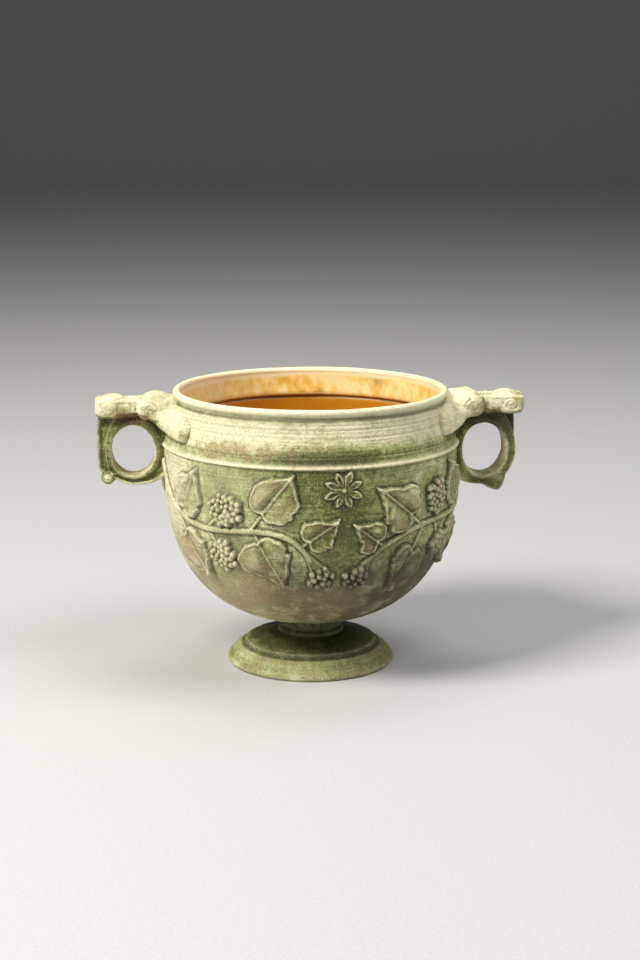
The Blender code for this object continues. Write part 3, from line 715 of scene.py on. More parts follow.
@dataclass
class RimAndNeck:
    """The neck with its incised lines and ridge, the rolled rim and the band inside it.

    lines holds the height, depth and width of each incised line, and band_low is where the band inside starts.
    """

    columns: int = 300
    row: float = 0.00038
    lines: tuple = ((0.1165, 0.00030, 0.00036), (0.1131, 0.00024, 0.00034), (0.1184, 0.00022, 0.00034),
                    (0.1057, 0.00036, 0.00040), (0.1094, 0.00012, 0.00030), (0.1150, 0.00012, 0.00030))
    handmade: float = 0.00012
    band_low: float = 0.1110

    def profile(self) -> list:
        """The ring's section, from its hidden foot up the inside, over the rim and down the outside."""
        ridge_z, wall_r, top, roll = CUP.ridge_z, CUP.bowl_radius, CUP.height, CUP.rim_roll
        ledge = float(CUP.neck(CUP.ledge_z)) - CUP.wall
        step_r = ledge - CUP.ledge_step
        inner = rounded([
            (ledge + 0.002, self.band_low), (ledge - 0.0001, self.band_low), (step_r, CUP.ledge_z + 0.0004),
            (step_r + 0.0004, 0.1160), (CUP.rim_radius - CUP.rim_thickness, top - roll * 0.8),
        ], 2)
        tube = roll * 0.54
        arc = [(CUP.rim_radius - tube + tube * math.cos(a), top - tube + tube * math.sin(a))
               for a in np.radians(np.linspace(190, -62, 18))]
        groove = (CUP.rim_radius - CUP.groove, top - roll * 1.28)
        neck_low, ridge_r = ridge_z + CUP.ridge_height, wall_r + CUP.ridge_proud
        neck = [(float(CUP.neck(z)), float(z)) for z in np.arange(top - roll * 1.62, neck_low, -self.row)]
        low_r = float(CUP.neck(neck_low))
        ridge = rounded([
            (low_r, neck_low), (low_r + 0.0002, neck_low - 0.0022), (ridge_r - 0.0006, ridge_z + 0.0007),
            (ridge_r + 0.0001, ridge_z + 0.0001), (ridge_r - 0.0001, ridge_z - 0.0006),
            (wall_r - 0.0003, ridge_z - 0.0010), (wall_r - 0.0010, ridge_z - 0.0015),
        ], 1)
        hidden = [(wall_r - CUP.wall / 2 - 0.0003, ridge_z - 0.0017), (ledge + 0.002, 0.1080)]
        return even_steps([*inner, *arc, groove, *neck, *ridge, *hidden], self.row)

    def build(self) -> Object:
        """Turns the ring, cuts its lines and gives it a hand-turned unevenness."""
        piece = finished_piece("rim_and_neck", lathe(self.profile(), self.columns, closed=True))
        turned = MeshField(piece.data)
        z, wave = turned.z, 0.00015 * np.sin(np.radians(turned.azimuth * 3))
        outside = turned.radius > CUP.neck(z) - 0.0009
        cut = sum(depth * bump(z + wave, line, width) for line, depth, width in self.lines)
        uneven = (turned.noise(16) + 0.5 * turned.noise(4)) * self.handmade
        self.paint(turned.lifted(uneven - np.where(outside & (z < 0.1205), cut, 0.0)), turned, outside)
        self.split_finishes(piece)
        return piece

    def paint(self, shape: MeshField, turned: MeshField, outside: Array) -> None:
        """Stores the wear and the tints that the glazes follow, with painted shade and painted highlights, by the
        places as first turned.
        """
        z, azimuth = turned.z, turned.azimuth
        shape.mark_proud_and_hollow(5, 0.15 * MM, 0.3)
        low, middle = smooth(0.1085 - z, -0.003, 0.003), bump(azimuth, 3.0, 17.0)
        dip = 0.10 * smooth(0.1155 - z, 0.0, 0.006) * (1 - 0.6 * smooth(-azimuth, 15.0, 45.0))
        low_green = low * (0.30 + 0.12 * smooth(azimuth, 0.0, 30.0) + 0.75 * middle)
        # Paler upper neck, and a painted highlight on the neck's right side.
        neck = 0.26 * smooth(z, 0.1085, 0.1150) + 0.22 * smooth(azimuth, 15.0, 60.0)
        # The ridge's crest paler: thin glaze on the edge, and a painted highlight.
        ridge = 0.95 * bump(z, CUP.ridge_z + 0.0001, 0.0010)
        worn = patches(azimuth, z, (0.62, -28, 0.1085, 18, 0.005), (0.5, -2, 0.1100, 9, 0.0035),
                       (0.35, -46, 0.105, 10, 0.004), (0.35, 20, 0.110, 6, 0.003))
        # Painted shadow lines under the rim's roll and under the ridge; the incised lines darker with glaze in them
        # and painted shade.
        dark = 0.55 * bump(z, 0.1210, 0.0006) + 0.3 * bump(z, 0.1003, 0.0004)
        for line, depth, width in self.lines:
            dark = dark + 2.6 * depth / MM * bump(z, line, width)
        blister = smooth(shape.noise(1.4), 0.05, 0.30) * bump(z, 0.1200, 0.0007)
        ledge_edge = 0.35 * smooth(0.1135 - z, 0.0, 0.0006) * (z > 0.1125)
        shape.store(
            green=0.06 + dip + low_green + 1.0 * bump(z, 0.1206, 0.0008),
            bright=neck * (1 - low) * outside + ridge + 0.4 * smooth(z, 0.1219, 0.1228),
            # Painted shade in the band above the ridge at the front and under the rim's roll.
            shade=(0.80 * middle * bump(z, 0.1042, 0.0018) + 0.70 * bump(z, 0.1205, 0.0005)) * outside,
            buff=worn * (turned.radius > 0.0595),
            pool=dark * outside,
            stain=blister * smooth(azimuth, -20.0, -15.0) * smooth(azimuth, 19.0, 14.0) * outside,
            # Cream at the rim's top and the ledge's edge, and a painted highlight on the inside band at the far left.
            cream=smooth(z, 0.1195, 0.1236) + ledge_edge + 0.45 * bump(azimuth, -125.0, 35.0),
            deep=smooth(0.1127 - z, 0.0, 0.0007),
        )

    def split_finishes(self, piece: Object) -> None:
        """Gives the band inside the rim the second finish."""
        limit = CUP.rim_radius - CUP.rim_thickness / 2
        for face in piece.data.polygons:
            inward = math.hypot(face.center.x, face.center.y) < limit and face.center.z > self.band_low - 0.0001
            face.material_index = 1 if inward else 0


@dataclass
class StemAndFoot:
    """The stem with its bead and the stepped, flanged foot, hollow underneath."""

    columns: int = 260
    row: float = 0.0008
    handmade: float = 0.00014
    resting_ring: float = 0.0040

    def build(self) -> Object:
        """Turns the foot from the stem's hidden top to the hollow under it."""
        stem, base, step, foot = CUP.stem_radius, CUP.stem_base, CUP.foot_step_radius, CUP.foot_radius
        top, step_z = CUP.bowl_bottom + 0.0025, CUP.foot_step_top
        outside = [
            (0.0, top), (stem * 0.9, top), (stem * 1.18, top - 0.0012), (stem * 1.02, top - 0.0034),
            (stem, base + 0.0024), (stem + 0.0006, base + 0.0020), (stem + 0.0016, base + 0.0012),
            (stem + 0.0014, base + 0.0003), (stem + 0.0019, base - 0.0002), (stem + 0.0060, base - 0.0009),
            (step * 0.84, step_z + 0.0009), (step - 0.0008, step_z), (step, step_z - 0.0008),
            (step + 0.0002, 0.0086), (step + 0.0008, 0.0080), (step + 0.0022, 0.0076), (step + 0.0046, 0.0057),
            (foot - 0.0008, 0.0030), (foot, 0.0018), (foot, 0.0008), (foot - 0.0008, 0.0),
        ]
        rest = foot - 0.0008 - self.resting_ring
        under = [(rest, 0.0), (rest - 0.0018, 0.0029), (rest * 0.5, 0.0081), (0.0, CUP.foot_hollow)]
        section = even_steps(rounded(outside, 2) + under, self.row)
        piece = finished_piece("stem_and_foot", lathe(section, self.columns))
        shape = MeshField(piece.data)
        standing = smooth(shape.z, 0.0, 0.002)
        shape = shape.lifted((shape.noise(12) + 0.4 * shape.noise(3)) * self.handmade * standing)
        shape.mark_proud_and_hollow(10, 0.16 * MM)
        flange = smooth(shape.radius, 0.0305, 0.0325)
        shape.store(
            green=0.84 - 0.20 * flange,
            buff=0.32 * flange + 0.55 * (shape.z < 0.0004) + 0.20 * bump(shape.z, 0.0165, 0.002),
            # Darker in the groove at the step.
            pool=bump(shape.z, 0.0084, 0.0008) * bump(shape.radius, 0.0304, 0.0012),
            # Painted shadow of the bowl: the stem and the foot's top darker than the flange.
            shade=0.52 * (1 - flange) + 0.08 * flange,
        )
        return piece


@dataclass
class LugHandle:
    """One handle: a thumb plate with scrolled corners over a finger ring, and two arms that hug the neck.

    The fields without a value are this side's own. hole is the ring hole's width and height. root, band, over and
    under are how much clay stands round it towards the wall, outward, up to the plate and below. The ring is round in
    front of a squared web: round_band is the ring's own band, dish how deep its faces are sunk, and top_taper the
    share of its width that is gone at the hole's top. The web is set back from the faces by web_setback, reaches
    web_under below the hole's middle and is sunk by web_dish. lobe is a knob: its place outward and up, its radius.
    Squareness is 2 for a round outline and more for a squarer one. lap and sink run into the plate and the wall.
    arm_tall and arm_proud are an arm's height and thickness at the plate and at its end.
    """

    side: Side
    hole: tuple
    root: float
    band: float
    over: float
    width: float
    arm_end: float
    squareness: float
    spur_degrees: float
    spur_proud: float
    round_band: float
    web_setback: float
    web_under: float
    top_taper: float
    dish: float
    web_dish: float = 0.0
    lobe: tuple | None = None
    under: float = 0.0037
    lap: float = 0.0022
    sink: float = 0.0042
    root_squareness: float = 2.8
    web_squareness: float = 6.0
    spur_half: float = 22.0
    plate_tip: float = 0.0949
    plate_top: float = 0.1212
    plate_thickness: float = 0.0058
    arm_start: float = 0.0084
    arm_span: float = 31.0
    arm_overlap: float = 14.0
    arm_blunt: float = 4.0
    arm_tall: tuple = (0.0112, 0.0118)
    arm_proud: tuple = (0.0118, 0.0036)
    voxel: float = 0.00042
    handmade: float = 0.00026

    @property
    def plate_low(self) -> float:
        """The height of the plate's underside."""
        return self.plate_top - self.plate_thickness

    @property
    def middle(self) -> tuple:
        """The middle of the ring's hole, from the axis and over the table."""
        ridge = CUP.bowl_radius + CUP.ridge_proud
        return ridge + self.root + self.hole[0] / 2, self.plate_low - self.over - self.hole[1] / 2

    def inner(self, angle: float) -> float:
        """The hole's radius at an angle in the ring's plane."""
        return 1 / math.hypot(math.cos(angle) / (self.hole[0] / 2), math.sin(angle) / (self.hole[1] / 2))

    def outer(self, angle: float, webbed: bool) -> float:
        """The ring's outer radius at an angle, with its spur, and with or without the web in its upper corner."""
        outward, upward = math.cos(angle) > 0, math.sin(angle) > 0
        if outward:
            power = self.web_squareness if webbed else (2.1 if upward else self.squareness)
        else:
            power = 3.5 if upward else self.root_squareness
        band = self.band if webbed else self.round_band
        wide = self.hole[0] / 2 + (band if outward else self.root + self.sink)
        tall = self.hole[1] / 2 + (self.over + self.lap if upward else self.under)
        if webbed and not upward:
            tall = self.web_under
        terms = abs(math.cos(angle) / wide) ** power + abs(math.sin(angle) / tall) ** power
        reach = max(terms ** (-1 / power), self.inner(angle) + 0.0012)
        away = abs(math.remainder(angle - math.radians(self.spur_degrees), 2 * math.pi))
        spur = 0.0 if webbed else self.spur_proud * max(0.0, 1 - math.degrees(away) / self.spur_half)
        return reach + spur

    def ring(self, bm: BMesh, webbed: bool, half: float, dish: float) -> None:
        """A ring round the hole, its faces dished between a rolled inner rim and a raised outer edge.

        Args:
            bm: What it is added to.
            webbed: Whether its upper corner is filled out square.
            half: Half its width.
            dish: How deep its faces are sunk.
        """
        section = ((0.0, half - 0.0014), (0.06, half - 0.0004), (0.20, half), (0.34, half - 0.0003),
                   (0.46, half - dish * 0.85), (0.66, half - dish), (0.82, half - dish * 0.7), (0.90, half - 0.0001),
                   (0.97, half - 0.0001), (1.0, half - 0.0008))
        section += tuple((share, -y) for share, y in reversed(section))
        made = bmesh.ops.create_circle(bm, segments=120, radius=1.0)["verts"]
        first = loop = list({edge for vert in made for edge in vert.link_edges})
        middle_x, middle_z = self.middle
        for number, (share, y) in enumerate(section):
            if number:
                made, loop = extruded(bm, loop)
            for vert in made:
                flat = vert.co if number == 0 else Vector((vert.co.x - middle_x, vert.co.z - middle_z, 0))
                angle = math.atan2(flat.y, flat.x)
                reach = self.inner(angle) * (1 - share) + self.outer(angle, webbed) * share
                up = reach * math.sin(angle)
                narrowed = 1 - self.top_taper * min(max(up / (self.hole[1] / 2), 0.0), 1.0)
                vert.co = (middle_x + reach * math.cos(angle), y * narrowed, middle_z + up)
        bmesh.ops.bridge_loops(bm, edges=first + loop)

    def rings(self, bm: BMesh) -> None:
        """The finger ring: round in front of a squared web that is set back from its faces; and its knob."""
        half = self.width / 2
        self.ring(bm, False, half, self.dish)
        self.ring(bm, True, half - self.web_setback, self.web_dish)
        if self.lobe:
            x, z, radius = self.lobe
            for way in (-1, 1):
                self.lump(bm, (x, way * (half - 0.0018), z), (radius, radius * 0.9, radius))
            self.lump(bm, (x, 0, z), (radius * 0.9, half - 0.001, radius * 0.9))

    def plate(self, bm: BMesh) -> None:
        """The thumb plate, waisted between its root and its tip."""
        root = float(CUP.neck(self.plate_top)) - CUP.wall / 2
        reach = self.plate_tip - root
        halves = ((0.0, 0.0092), (0.20, 0.0094), (0.32, 0.0088), (0.40, 0.0076), (0.50, 0.0072), (0.60, 0.0078),
                  (0.75, 0.0089), (0.95, 0.0092), (1.0, 0.0078))
        outline = [bm.verts.new((root + reach * share, half, self.plate_low)) for share, half in halves]
        outline += [bm.verts.new((v.co.x, -v.co.y, v.co.z)) for v in reversed(outline)]
        top = bmesh.ops.extrude_face_region(bm, geom=[bm.faces.new(outline)], use_keep_orig=True)["geom"]
        raised = [item for item in top if isinstance(item, BMVert)]
        bmesh.ops.translate(bm, vec=(0, 0, self.plate_thickness), verts=raised)

    @staticmethod
    def lump(bm: BMesh, middle: tuple, size: tuple, tilt: float = 0.0, blunt: float = 2.0) -> None:
        """A lump of clay, round or (blunt above 2) squared, tilted about Y by degrees."""
        verts = bmesh.ops.create_uvsphere(bm, u_segments=32, v_segments=20, radius=1.0)["verts"]
        for vert in verts:
            vert.co /= sum(abs(part) ** blunt for part in vert.co) ** (1 / blunt)
        turn = Matrix.Rotation(math.radians(tilt), 4, "Y")
        bmesh.ops.transform(bm, matrix=Matrix.Translation(middle) @ turn @ Matrix.Diagonal((*size, 1)), verts=verts)

    def arm(self, bm: BMesh, way: int) -> None:
        """A side arm: smooth above and heavy at its lower lip, slanting down to a blunt end."""
        verts = bmesh.ops.create_uvsphere(bm, u_segments=28, v_segments=40, radius=1.0)["verts"]
        blunt, overlap = self.arm_blunt, self.arm_overlap
        for vert in verts:
            along, out, up = vert.co.z, vert.co.y, -vert.co.x
            section = math.hypot(out, up)
            swell = (1 - min(abs(along), 1.0) ** blunt) ** (1 / blunt) / section if section > 1e-4 else 0.0
            degrees = (self.arm_span + overlap) * (along + 1) / 2 - overlap
            share = max(degrees, 0.0) / self.arm_span
            half = between(self.arm_tall, share) / 2
            leaning = up * swell - 0.30 * (1 - min(up * swell, 1.0) ** 2)
            height = CUP.height - self.arm_start - (self.arm_end - self.arm_start) * share + leaning * half
            thick = between(self.arm_proud, math.sqrt(share)) if out > 0 else 0.0022
            radius = float(CUP.neck(height)) + out * swell * thick
            angle = math.radians(degrees) * way
            vert.co = (radius * math.cos(angle), radius * math.sin(angle), height)

    def scrolls(self, bm: BMesh) -> None:
        """The rolls at the plate's tip and root, worn to blunt lumps, and the swellings over them."""
        tip, top = self.plate_tip, self.plate_top
        self.lump(bm, (tip - 0.0056, 0, top - 0.0040), (0.0056, 0.0096, 0.0041), 0, 5.0)
        self.lump(bm, (tip - 0.0102, 0, top - 0.0037), (0.0078, 0.0089, 0.0040), 0, 3.0)
        self.lump(bm, (tip - 0.0068, 0, top - 0.0002), (0.0056, 0.0076, 0.0018), 4)
        self.lump(bm, (0.0690, 0, top - 0.0004), (0.0062, 0.0086, 0.0030), 4)
        for way in (-1, 1):
            self.lump(bm, (0.0708, way * 0.0078, top - 0.0040), (0.0058, 0.0038, 0.0046), 12, 2.6)
            self.lump(bm, (0.0660, way * 0.0100, top - 0.0030), (0.0050, 0.0050, 0.0040))

    def build(self) -> Object:
        """Joins the handle's shapes into one skin, softens it and carves its scrolls."""
        bm = bmesh.new()
        self.rings(bm)
        self.plate(bm)
        self.scrolls(bm)
        for way in (-1, 1):
            self.arm(bm, way)
        bmesh.ops.recalc_face_normals(bm, faces=bm.faces)
        bmesh.ops.triangulate(bm, faces=bm.faces)
        rough = placed("rough", bm)
        skin = rough.modifiers.new("skin", "REMESH")
        skin.mode, skin.voxel_size, skin.adaptivity = "VOXEL", self.voxel, 0.0
        ready = rough.evaluated_get(bpy.context.evaluated_depsgraph_get())
        bm = bmesh.new()
        bm.from_mesh(ready.to_mesh())
        ready.to_mesh_clear()
        bpy.data.objects.remove(rough)
        for _ in range(3):
            bmesh.ops.smooth_vert(bm, verts=bm.verts, factor=0.5, use_axis_x=True, use_axis_y=True, use_axis_z=True)
        bmesh.ops.scale(bm, vec=(self.side.value, 1, 1), verts=bm.verts)
        piece = finished_piece(f"{self.side.name.lower()}_handle", bm)
        self.carve(MeshField(piece.data))
        return piece

    def carve(self, shape: MeshField) -> None:
        """Cuts the scrolls and the grooves of the waist, and wears the whole surface."""
        out, across, z = shape.places[:, 0] * self.side.value, np.abs(shape.places[:, 1]), shape.z
        upper = smooth(z, self.plate_low - 0.0008, self.plate_low + 0.0008)
        drift = shape.noise(6)
        bend = out - 0.45 * across + 0.0009 * drift + 0.10 * (z - self.plate_top)
        waist = bump(bend, 0.0735, 0.0005) + 0.7 * bump(bend, 0.0752, 0.0004) + 0.9 * bump(bend, 0.0776, 0.0005)
        cut = 0.00046 * waist * upper * (0.75 + 0.5 * drift)
        edge = smooth(across, 0.0066, 0.0082) * (0.7 + 0.8 * drift)
        for eye_x, eye_z in ((self.plate_tip - 0.0062, self.plate_top - 0.0036), (0.0712, self.plate_top - 0.0034)):
            away = np.hypot(out - eye_x, (z - eye_z) * 1.15) + 0.0004 * drift
            turn = 0.0007 * np.arctan2(z - eye_z, out - eye_x) / math.pi
            coils = bump(away, 0.0029 + turn, 0.0005) + 0.6 * bump(away, 0.0013 + turn, 0.0004)
            cut = cut + edge * 0.00055 * coils
        uneven = (drift + 0.8 * shape.noise(2.4)) * self.handmade
        uneven *= 0.5 + 1.1 * smooth(z, 0.108, 0.114)
        self.paint(shape.lifted(uneven - cut), out, across, z)

    def paint(self, shape: MeshField, out: Array, across: Array, z: Array) -> None:
        """Stores the wear and the tints that the glaze follows, with painted shade and painted highlights, by the
        places before the carving.
        """
        right = self.side is Side.RIGHT
        shape.mark_proud_and_hollow(8, 0.20 * MM)
        ring = smooth(0.1142 - z, 0.0, 0.0016) * smooth(self.width / 2 + 0.0008 - across, 0.0, 0.0008)
        # Parts facing down, which get painted shade.
        under = smooth(-shape.normals[:, 2], 0.2, 0.8)
        away = np.c_[out - self.middle[0], z - self.middle[1]]
        facing = -(away[:, 0] * shape.normals[:, 0] * self.side.value + away[:, 1] * shape.normals[:, 2])
        # The hole's inner face, which gets a painted highlight: paler and clear of the painted shade.
        lining = ring * smooth(facing / np.linalg.norm(away, axis=1), 0.5, 0.9)
        blotch = shape.noise(8)
        # The arms, given a painted highlight on the right handle.
        arm = (1 - ring) * smooth(0.076 - out, 0.0, 0.005)
        # Painted shadow of the plate over the ring's upper part.
        sheltered = smooth(z + 0.25 * (out - 0.078), 0.1015, 0.1085) if right else smooth(z, 0.109, 0.114)
        shape.store(
            # Greener ring, and greener undersides as painted shade; the hole's inner face paler as a painted
            # highlight.
            green=0.18 + 0.50 * blotch + 0.68 * ring + 0.5 * under * (1 - ring) - 0.80 * lining,
            buff=(0.24 + 0.5 * blotch) * (1 - ring) + 0.20 * lining + 0.20 * ring,
            # Painted highlight on the right handle's arms; on the left handle, the plate's top paler.
            bright=0.5 * arm if right else 0.35 * smooth(z, 0.117, 0.119),
            shade=ring * (0.12 + 0.85 * sheltered) * (1 - 0.8 * lining * (1 - sheltered)),
            # Painted shade over the ring and its undersides, but not on the hole's inner face.
            pool=0.35 * ring * (1 - lining) + 0.5 * under * ring * (1 - lining),
        )
        if not right:
            chipped = smooth(out, 0.069, 0.072) * smooth(0.0885 - out, 0.0, 0.003)
            shape.store(bare=0.85 * chipped * smooth(z, 0.1095, 0.1115) * smooth(0.1160 - z, 0.0, 0.0010))


def to_linear(code: str) -> tuple:
    """An sRGB hex colour as linear red, green, blue and alpha."""
    parts = [int(code[i:i + 2], 16) / 255 for i in (1, 3, 5)]
    return (*(c / 12.92 if c <= 0.04045 else ((c + 0.055) / 1.055) ** 2.4 for c in parts), 1.0)


class Recipe:
    """A material's nodes, added one at a time."""

    def __init__(self, name: str) -> None:
        """Starts a material with its shader and output alone."""
        self.material = bpy.data.materials.new(name)
        self.material.use_nodes = True
        self.tree = self.material.node_tree
        self.shader = self.tree.nodes["Principled BSDF"]
        self.where = self.node("ShaderNodeTexCoord").outputs["Object"]

    def node(self, kind: str, settings: dict | None = None, **inputs):
        """Adds one node.

        Args:
            kind: The node's type.
            settings: Its own properties.
            inputs: What goes into its sockets, by name (spaces as _) or number (as in0): a value, an sRGB hex colour
                or another's socket.
        Returns:
            The node.
        """
        made = self.tree.nodes.new(kind)
        for key, value in (settings or {}).items():
            setattr(made, key, value)
        for key, value in inputs.items():
            socket = made.inputs[int(key[2:]) if key[2:].isdigit() else key.replace("_", " ")]
            if isinstance(value, NodeSocket):
                self.tree.links.new(value, socket)
            else:
                socket.default_value = to_linear(value) if isinstance(value, str) else value
        return made

    def math(self, operation: str, first, second=0.0, third=0.0):
        """A sum on numbers, which isn't held between 0 and 1."""
        return self.node("ShaderNodeMath", {"operation": operation}, in0=first, in1=second, in2=third).outputs[0]

    def attribute(self, name: str):
        """A number kept at the vertices."""
        return self.node("ShaderNodeAttribute", {"attribute_name": name}).outputs["Fac"]

    def marked(self, name: str, share):
        """A number kept at the vertices, times a share."""
        return self.math("MULTIPLY", self.attribute(name), share)

    def varied(self, name: str, *noises: tuple):
        """A number kept at the vertices with noises added, each (noise, gain, shift)."""
        total = self.attribute(name)
        for value, gain, shift in noises:
            total = self.math("ADD", total, self.math("MULTIPLY_ADD", value, gain, shift))
        return total

    def blend(self, first, second, share: float):
        """Two noises laid together, with a share of the first and the rest of the second."""
        return self.math("ADD", self.math("MULTIPLY", first, share), self.math("MULTIPLY", second, 1 - share))

    def ramp(self, value, low: float, high: float, least: float = 0.0, most: float = 1.0):
        """A soft step of a number."""
        return self.node(
            "ShaderNodeMapRange", {"interpolation_type": "SMOOTHSTEP"},
            Value=value, From_Min=low, From_Max=high, To_Min=least, To_Max=most,
        ).outputs["Result"]

    def grain(self, size: float, detail: float = 2.0, stretch: tuple = (1, 1, 1), offset: float = 0.0):
        """Noise with lumps of a size in metres, drawn out along the axes."""
        moved = self.node("ShaderNodeMapping", Vector=self.where, Location=(offset, offset, offset), Scale=stretch)
        return self.node("ShaderNodeTexNoise", Vector=moved.outputs[0], Scale=1 / size, Detail=detail).outputs["Fac"]

    def coats(self, colour, *coats: tuple):
        """Lays coats over a colour one after another, each (colour, share)."""
        for over, share in coats:
            colour = self.node("ShaderNodeMix", {"data_type": "RGBA"}, in0=share, in6=colour, in7=over).outputs[2]
        return colour

    def bumps(self, *heights: tuple):
        """Bumps laid over each other, each (height, distance in millimetres, strength)."""
        under = {}
        for height, distance, strength in heights:
            made = self.node("ShaderNodeBump", Height=height, Distance=distance * MM, Strength=strength, **under)
            under = {"Normal": made.outputs["Normal"]}
        return under["Normal"]

    def finish(self, colour, roughness, normal, ior: float | None = None) -> Material:
        """Joins colour, roughness and bump to the shader."""
        for key, socket in (("Base Color", colour), ("Roughness", roughness), ("Normal", normal)):
            self.tree.links.new(socket, self.shader.inputs[key])
        if ior:
            self.shader.inputs["IOR"].default_value = ior
        return self.material


@dataclass(frozen=True)
class WeatheredGreenGlaze:
    """Copper-green lead glaze, fired in a mould-made body and weathered matt: sandy, pale where it is worn."""

    pale: str = "#dedab5"
    mid: str = "#9da466"
    deep: str = "#5c6227"
    # The colour of the painted shade.
    painted_shade: str = "#2e2a12"
    # Dark green for glaze gathered in hollows, for painted shade and for the dark specks.
    pooled: str = "#2f3a16"
    buff: str = "#a18a5b"
    pink: str = "#ad8d66"
    bare: str = "#8d6347"
    sand: str = "#b4b17c"
    cream: str = "#efe6c2"
    soot: str = "#1f1f10"
    grit: float = 0.0007
    wheel: float = 0.0009

    def build(self) -> Material:
        """Lays the glaze's tones over each other by wear, hollows and drifting noise, then painted highlights and
        painted shade.
        """
        # To the eye: a sandy matt green, cream on edges, tan where bare, dark where glaze gathers in hollows and
        # where shade is painted, and pale where highlights are painted.
        r = Recipe("lead_glaze_green_weathered")
        drift, cloud = r.grain(26 * MM, 3), r.grain(7 * MM, 4, offset=3.0)
        fine, speck = r.grain(2.0 * MM, 4, offset=7.0), r.grain(self.grit, 2, offset=11.0)
        lines = r.grain(self.wheel, 3, (0.03, 0.03, 1.0), offset=5.0)
        uneven = r.blend(drift, cloud, 0.5)
        depth = r.varied("green", (uneven, 1.9, -0.95), (lines, 0.7, -0.35), (fine, 0.85, -0.43))
        worn = r.varied("buff", (cloud, 1.2, -0.65), (fine, 0.5, -0.25))
        # Darker in hollows and round the relief: glaze pooling there, and painted shade.
        sunk = r.math("ADD", r.attribute("hollow"), r.marked("pool", 0.75))
        sunk = r.math("MULTIPLY", sunk, r.ramp(fine, 0.25, 0.6, 0.55, 1.0))
        edge = r.marked("proud", r.ramp(fine, 0.3, 0.6, 0.55, 1.0))
        clay = r.coats(self.buff, (self.pink, r.ramp(drift, 0.4, 0.6)))
        colour = r.coats(
            self.pale,
            (self.mid, r.ramp(depth, 0.0, 0.50)),
            (self.deep, r.ramp(depth, 0.40, 0.95)),
            (clay, r.ramp(worn, 0.15, 0.75, 0.0, 0.85)),
            (self.pooled, r.ramp(sunk, 0.12, 1.1, 0.0, 0.88)),
            (self.cream, r.ramp(edge, 0.15, 1.1, 0.0, 0.82)),
            (self.bare, r.marked("bare", r.ramp(cloud, 0.30, 0.50, 0.5, 0.95))),
            (self.pooled, r.ramp(speck, 0.52, 0.74, 0.0, 0.70)),
            (self.sand, r.ramp(speck, 0.48, 0.26, 0.0, 0.66)),
            (self.soot, r.marked("stain", 0.8)),
            # Painted highlights and paler tone, in cream.
            (self.cream, r.marked("bright", r.ramp(fine, 0.25, 0.5, 0.4, 0.9))),
            # Painted shade, in dark brown.
            (self.painted_shade, r.marked("shade", r.ramp(cloud, 0.3, 0.6, 0.55, 0.85))),
        )
        normal = r.bumps((lines, 0.40, 0.55), (speck, 0.35, 0.75), (fine, 0.6, 0.5))
        return r.finish(colour, r.ramp(uneven, 0.3, 0.7, 0.74, 0.56), normal, 1.5)


@dataclass(frozen=True)
class AmberGlaze:
    """Iron-amber lead glaze inside the cup: glossier, streaked down the wall, darker below the ledge, with a painted
    shadow line just under it.
    """

    light: str = "#fae19c"
    amber: str = "#efc25e"
    deep: str = "#c98a16"
    # Brown for the stain spots, and for the painted shadow line under the ledge.
    stain: str = "#6e330a"
    cream: str = "#f7e6b8"
    green: str = "#9a8f4e"

    def build(self) -> Material:
        """Mottles amber over cream, with a few green spots, a painted shadow line in brown in the ledge's corner, and
        a painted highlight on the band at the far left.
        """
        # To the eye: warm honey with a soft shine, deep in the bowl and creamy at the lip.
        r = Recipe("lead_glaze_amber")
        streak = r.grain(3.2 * MM, 4, (1.0, 1.0, 0.5))
        cloud, fine = r.grain(12 * MM, 3, offset=2.0), r.grain(0.9 * MM, 3, offset=9.0)
        tone = r.blend(streak, cloud, 0.55)
        height = r.node("ShaderNodeSeparateXYZ", Vector=r.where).outputs["Z"]
        # Painted shadow: a brown line just under the ledge.
        line = r.math("MULTIPLY", r.ramp(height, 0.1098, 0.1110), r.ramp(height, 0.1126, 0.1114))
        colour = r.coats(
            self.light,
            (self.amber, r.ramp(tone, 0.40, 0.60)),
            (self.deep, r.ramp(tone, 0.56, 0.72, 0.0, 0.55)),
            (self.deep, r.attribute("deep")),
            (self.stain, r.ramp(fine, 0.56, 0.78, 0.0, 0.30)),
            (self.green, r.ramp(cloud, 0.62, 0.70, 0.0, 0.6)),
            (self.stain, r.math("MULTIPLY", line, 0.85)),
            # Cream at the lip and the ledge's edge, and a painted highlight on the band inside at the far left.
            (self.cream, r.ramp(r.varied("cream", (cloud, 0.9, -0.45)), 0.15, 0.85)),
        )
        normal = r.bumps((cloud, 0.5, 0.3), (fine, 0.2, 0.4))
        return r.finish(colour, r.ramp(tone, 0.3, 0.7, 0.52, 0.38), normal, 1.55)


@dataclass(frozen=True)
class PaperFloor:
    """Matt pale studio paper."""

    paper: str = "#bcbbba"
    tooth: str = "#c2c1c0"

    def build(self) -> Material:
        """A plain pale grey with a faint tooth."""
        # To the eye: a quiet, shineless ground.
        r = Recipe("studio_paper")
        tooth = r.grain(1.5 * MM, 2)
        colour = r.coats(self.paper, (self.tooth, r.ramp(tooth, 0.3, 0.7)))
        return r.finish(colour, r.ramp(tooth, 0.0, 1.0, 0.85, 0.95), r.bumps((tooth, 0.1, 0.1)))


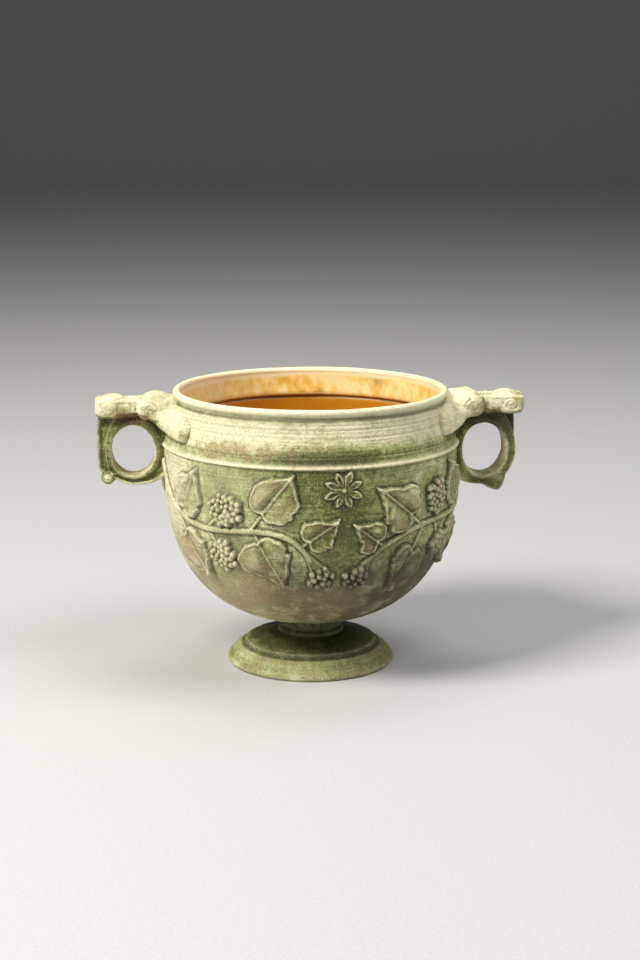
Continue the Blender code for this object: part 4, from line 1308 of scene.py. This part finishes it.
@dataclass
class Studio:
    """The pale floor, the soft lights and the camera, in metres and degrees.

    lamps holds the name, place, size, power in watts and tint of each light. The floor is a square that reaches
    floor_reach each way from the cup and then curves up in steps of sweep_step.
    """

    distance: float = 0.808
    eye_height: float = 0.257
    azimuth: float = -4.5
    pitch: float = 12.17
    aside: float = 0.0043
    lens: float = 69.08
    floor_reach: float = 4.0
    sweep_step: float = 0.4
    sweep_turns: int = 8
    aim: tuple = (0, 0, 0.07)
    lamps: tuple = (
        ("key", (-0.86, -0.52, 1.08), 0.50, 26.0, "#fffdf8"),
        ("right", (0.80, -0.38, 1.25), 0.80, 11.0, "#ffffff"),
        ("top", (0.05, 0.35, 1.3), 0.60, 5.0, "#ffffff"),
    )
    sky: str = "#dfe1e4"
    sky_strength: float = 0.11

    def floor(self) -> None:
        """A sweep of paper that rises far behind the cup."""
        bm = bmesh.new()
        bmesh.ops.create_grid(bm, x_segments=1, y_segments=1, size=self.floor_reach)
        edge = [e for e in bm.edges if all(v.co.y > self.floor_reach - 0.1 for v in e.verts)]
        for turn in range(1, self.sweep_turns + 1):
            made, edge = extruded(bm, edge)
            angle = math.pi / 2 * turn / self.sweep_turns
            step = Vector((0, math.cos(angle), math.sin(angle))) * self.sweep_step
            bmesh.ops.translate(bm, vec=step, verts=made)
        paper = placed("paper_floor", bm)
        paper.data.materials.append(PaperFloor().build())

    def light(self, name: str, place: tuple, size: float, power: float, tint: str) -> None:
        """A square soft light that looks at the bowl."""
        lamp = bpy.data.lights.new(name, "AREA")
        lamp.size, lamp.energy, lamp.color = size, power, to_linear(tint)[:3]
        holder = linked(name, lamp)
        holder.location = place
        holder.rotation_euler = (Vector(self.aim) - Vector(place)).to_track_quat("-Z", "Y").to_euler()

    def camera(self) -> None:
        """The camera, a little above the cup and slightly to its left."""
        turn = math.radians(self.azimuth)
        data = bpy.data.cameras.new("camera")
        data.lens, data.sensor_width, data.clip_end = self.lens, 36.0, 100.0
        eye = linked("camera", data)
        away, right = Vector((math.sin(turn), -math.cos(turn), 0)), Vector((math.cos(turn), math.sin(turn), 0))
        eye.location = away * self.distance + right * self.aside + Vector((0, 0, self.eye_height))
        eye.rotation_euler = (math.radians(90 - self.pitch), 0, turn)
        bpy.context.scene.camera = eye

    def build(self) -> None:
        """Sets the floor, the lights, the surroundings and the camera."""
        self.floor()
        for lamp in self.lamps:
            self.light(*lamp)
        world = bpy.data.worlds.new("studio")
        world.use_nodes = True
        background = world.node_tree.nodes["Background"]
        background.inputs["Color"].default_value = to_linear(self.sky)
        background.inputs["Strength"].default_value = self.sky_strength
        bpy.context.scene.world = world
        bpy.context.scene.view_settings.view_transform = "Standard"
        self.camera()


def main() -> None:
    """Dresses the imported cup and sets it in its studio."""
    logging.basicConfig(level=logging.INFO, format="%(message)s")
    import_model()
    green, amber = WeatheredGreenGlaze().build(), AmberGlaze().build()
    right_handle = LugHandle(
        Side.RIGHT, hole=(0.0196, 0.0238), root=0.0014, band=0.0042, over=0.0067, width=0.0158, arm_end=0.0120,
        squareness=2.0, spur_degrees=-70.0, spur_proud=0.0045, round_band=0.0042, web_setback=0.0040,
        web_under=0.0040, top_taper=0.26, dish=0.0009,
    )
    left_handle = LugHandle(
        Side.LEFT, hole=(0.0191, 0.0226), root=0.0030, band=0.0060, over=0.0058, width=0.0134, arm_end=0.0136,
        squareness=2.1, spur_degrees=-47.0, spur_proud=0.0010, round_band=0.0026, web_setback=0.0004,
        web_under=0.0106, top_taper=0.12, dish=0.0014, web_dish=0.0014, lobe=(0.0899, 0.0865, 0.0031),
    )
    dressed = (
        (BowlWall(), green), (BowlLining(), amber), (RimAndNeck(), green, amber), (StemAndFoot(), green),
        (right_handle, green), (left_handle, green),
    )
    for part, *finishes in dressed:
        piece = part.build()
        for finish in finishes:
            piece.data.materials.append(finish)
        faces = sum(len(polygon.vertices) - 2 for polygon in piece.data.polygons)
        LOG.info("%s: %d triangles", piece.name, faces)
    Studio().build()


if __name__ == "__main__":
    main()
